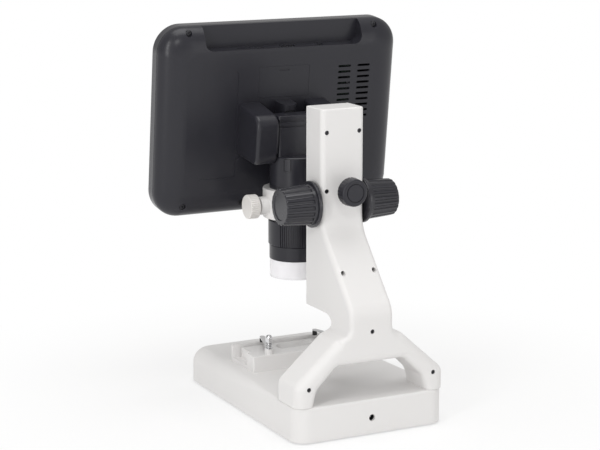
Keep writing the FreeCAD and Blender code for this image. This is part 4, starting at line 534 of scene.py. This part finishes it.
def dome(radius, height, rows=5, count=24):
    """A shallow dome with a closed underside, its axis along +Y."""
    mesh = bmesh.new()
    rings = []
    for row in range(rows):
        share = math.pi / 2 * row / rows
        rings.append(ring(mesh, radius * math.cos(share), height * math.sin(share), count))
    for first, second in zip(rings, rings[1:]):
        bridge(mesh, first, second)
    mesh.faces.new(rings[0])
    tip = mesh.verts.new((0, height, 0))
    for index, vert in enumerate(rings[-1]):
        mesh.faces.new((vert, rings[-1][(index + 1) % count], tip))
    return keep("dome", mesh)


phosphor = surface("phosphor_look", (0.86, 0.74, 0.30), 0.35, grain=0.1, tint=0.03)
template = dome(1.25 * MM, 0.35 * MM)
spots = []
for low, high in solids("leds"):
    spot = (low + high) / 2
    spot.z = low.z
    spots.append(spot)
down = (-math.pi / 2, 0, 0)
lit = join_meshes("lamp_domes", [copies_on(spots, template, phosphor, down)], phosphor)
bpy.data.objects.remove(template)
dress(lit, "scope")
print("domes", len(spots))

# %% [markdown]
# ## Contacts in the sockets
#
# Looking down into the port bay, each socket shows a tongue with its contacts. The tongue is a thin
# plate in the middle of the socket's shell, and the contacts are a row of flat strips on it.

# %% Tongues and contacts


def block(mesh, low, high):
    """An upright block between two corners, in a bmesh."""
    corners = [mesh.verts.new((x, y, z)) for z in (low[2], high[2]) for y in (low[1], high[1])
               for x in (low[0], high[0])]
    for face in ((0, 2, 3, 1), (4, 5, 7, 6), (0, 1, 5, 4), (2, 6, 7, 3), (0, 4, 6, 2),
                 (1, 3, 7, 5)):
        mesh.faces.new([corners[index] for index in face])


SHELL = 1.6 * MM
SUNK = 1.0 * MM
HALF_TONGUE = 0.45 * MM
FOOT = 1.4 * MM
PITCH = 1.1 * MM
HALF_STRIP = 0.25 * MM
STRIP_HEIGHT = 0.06 * MM
STRIP_GAP = (0.2 * MM, 0.3 * MM)
tongues = bmesh.new()
strips = []
for low, high in solids("port_sockets", PANEL):
    wide, deep = high.x - low.x, high.y - low.y
    if wide < 1.2 * deep:
        continue
    middle = (low + high) / 2
    reach = wide / 2 - SHELL
    bottom, top = low.z + FOOT, high.z - SUNK
    block(tongues, (middle.x - reach, middle.y - HALF_TONGUE, bottom),
          (middle.x + reach, middle.y + HALF_TONGUE, top))
    count = int(2 * reach / PITCH)
    bottom += STRIP_GAP[0]
    top -= STRIP_GAP[1]
    one = bmesh.new()
    block(one, (-HALF_STRIP, 0.0, bottom - top), (HALF_STRIP, STRIP_HEIGHT, 0.0))
    template = keep("strip", one)
    step = 2 * reach / count
    places = [(middle.x - reach + (index + 0.5) * step, middle.y + HALF_TONGUE, top)
              for index in range(count)]
    strips.append(copies_on(places, template, looks["brass"]))
    bpy.data.objects.remove(template)
plates = bpy.data.meshes.new("plates")
tongues.to_mesh(plates)
tongues.free()
for name, forms, slot in (("socket_tongues", [plates], "black_plastic"),
                          ("socket_contacts", strips, "brass")):
    piece = join_meshes(name, forms, looks[slot], PANEL)
    dress(piece, "display")
    print(name, len(piece.data.polygons), "faces")

# %% [markdown]
# ## The centre pin of the power inlet
#
# A barrel inlet has a thin pin on its axis, which the plug's bore slides over. The mount's bore in
# the frame stays free for the plug, so the pin is made here: a rod with a rounded tip, turned from
# four rings.

# %% Pin
low, high = (Vector(corner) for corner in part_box("power_inlet"))
inlet = (low + high) / 2
pin_radius = 1.0 * MM
pin_end = high.y - 1.5 * MM
profile = [(pin_radius, pin_end - 9 * MM), (pin_radius, pin_end - 0.6 * MM),
           (pin_radius * 0.8, pin_end - 0.15 * MM), (pin_radius * 0.4, pin_end)]
mesh = bmesh.new()
rings = [ring(mesh, radius, along, 24) for radius, along in profile]
for first, second in zip(rings, rings[1:]):
    bridge(mesh, first, second)
mesh.faces.new(rings[0])
mesh.faces.new(rings[-1])
bmesh.ops.translate(mesh, verts=mesh.verts, vec=(inlet.x, 0, inlet.z))
dress(keep("inlet_pin", mesh, looks["steel"]), "stand")
print("inlet", [round(value, 4) for value in inlet], "pin from", round(profile[0][1], 4))

# %% [markdown]
# ## Studio
#
# The photograph is a cut-out product shot on white. The floor is nearly white, and for rays that
# come straight from the camera, or that metal and glass send out, its light is made up to full
# white away from the object. Near the object it stays partly a real floor, so the shadow shows.

# %% Floor
SHADE_FROM, SHADE_TO, SHADE_SHARE = 0.16, 0.42, 0.55


def floor_look():
    """White for the camera, a pale diffuse floor for the light."""
    made, shader, place = new_tree("floor_look")
    shader.inputs["Base Color"].default_value = (0.93, 0.93, 0.93, 1.0)
    shader.inputs["Roughness"].default_value = 1.0
    shader.inputs["Specular IOR Level"].default_value = 0.0
    away = place.node("ShaderNodeVectorMath", {0: place}, output="Value", operation="LENGTH")
    rise = away.node("ShaderNodeMapRange", {0: away, 1: SHADE_FROM, 2: SHADE_TO, 3: SHADE_SHARE,
                                            4: 1.0}, interpolation_type="SMOOTHSTEP")
    rays = made.node_tree.nodes.new("ShaderNodeLightPath")
    seen = Value(made.node_tree, rays.outputs["Is Camera Ray"])
    seen = seen.maths("MAXIMUM", seen, Value(made.node_tree, rays.outputs["Is Glossy Ray"]))
    seen = seen.maths("MAXIMUM", seen, Value(made.node_tree, rays.outputs["Is Transmission Ray"]))
    white = place.node("ShaderNodeEmission", {"Color": (1, 1, 1, 1), "Strength": 1.0})
    real = Value(place.tree, shader.outputs[0])
    both = place.node("ShaderNodeMixShader", {0: seen * rise, 1: real, 2: white})
    place.tree.links.new(both.socket, place.tree.nodes["Material Output"].inputs["Surface"])
    return made


bpy.ops.mesh.primitive_plane_add(size=24.0, location=(0, 0, 0))
floor = bpy.context.object
floor.name = "floor"
floor.data.materials.append(floor_look())

# %% [markdown]
# The light is soft: a pale world, a large lamp overhead, two tall narrow lamps to the left and
# right of the camera and a small one over it. The tall ones draw the bright lines down the rounded
# edges and the round parts in black, and the small one the spots on the corners. Together they
# light a surface that faces the camera at a level near 1, at which a colour renders about as it is
# written.

# %% Lights


def lamp(name, place, aim, width, height, power):
    """A soft rectangular light."""
    data = bpy.data.lights.new(name, "AREA")
    data.shape = "RECTANGLE"
    data.size, data.size_y = width, height
    data.energy = power
    made = bpy.data.objects.new(name, data)
    bpy.context.scene.collection.objects.link(made)
    made.location = place
    made.rotation_euler = (Vector(aim) - Vector(place)).to_track_quat("-Z", "Y").to_euler()


MIDDLE = (0, 0, 0.17)
lamp("overhead", (0.0, 0.2, 1.8), MIDDLE, 1.2, 1.2, 12.5)
lamp("tall_left", (1.25, 0.80, 0.60), MIDDLE, 0.20, 1.2, 6.2)
lamp("high_middle", (0.64, 1.76, 1.30), MIDDLE, 0.3, 0.3, 3.2)
lamp("tall_right", (-0.9, 1.75, 0.50), MIDDLE, 0.25, 0.95, 1.8)

# %% [markdown]
# The world is the light that comes from everywhere, as in a room of white paper. The camera sees it
# as full white, and everything else gets a weaker light from it, so that the shadows stay.

# %% World
world = bpy.data.worlds.new("studio")
bpy.context.scene.world = world
world.use_nodes = True
tree = world.node_tree
tree.nodes.clear()
place = Value(tree, tree.nodes.new("ShaderNodeTexCoord").outputs["Generated"])
seen = Value(tree, tree.nodes.new("ShaderNodeLightPath").outputs["Is Camera Ray"])
light = place.node("ShaderNodeBackground", {"Color": (1.0, 0.995, 0.985, 1.0), "Strength": 0.58})
white = place.node("ShaderNodeBackground", {"Color": (1.0, 1.0, 1.0, 1.0), "Strength": 1.0})
both = place.node("ShaderNodeMixShader", {0: seen, 1: light, 2: white})
tree.links.new(both.socket, tree.nodes.new("ShaderNodeOutputWorld").inputs["Surface"])

# %% [markdown]
# ## Camera
#
# The camera's place and lens were found from the vertical edges, the base's corners and the
# known proportions of the stand, so that the render and the photograph lie over each other.

# %% Camera
FRAME_WIDTH = 600.0
FOCAL_PIXELS = 1864.0
camera = bpy.data.objects.new("camera", bpy.data.cameras.new("camera"))
bpy.context.scene.collection.objects.link(camera)
camera.location = (0.77214, 1.50079, 0.52101)
camera.rotation_euler = Vector((-0.4428, -0.8729, -0.2048)).to_track_quat("-Z", "Y").to_euler()
camera.data.sensor_width = 36.0
camera.data.lens = FOCAL_PIXELS / FRAME_WIDTH * camera.data.sensor_width
camera.data.clip_start, camera.data.clip_end = 0.05, 30.0
bpy.context.scene.camera = camera
bpy.context.scene.view_settings.view_transform = "Standard"
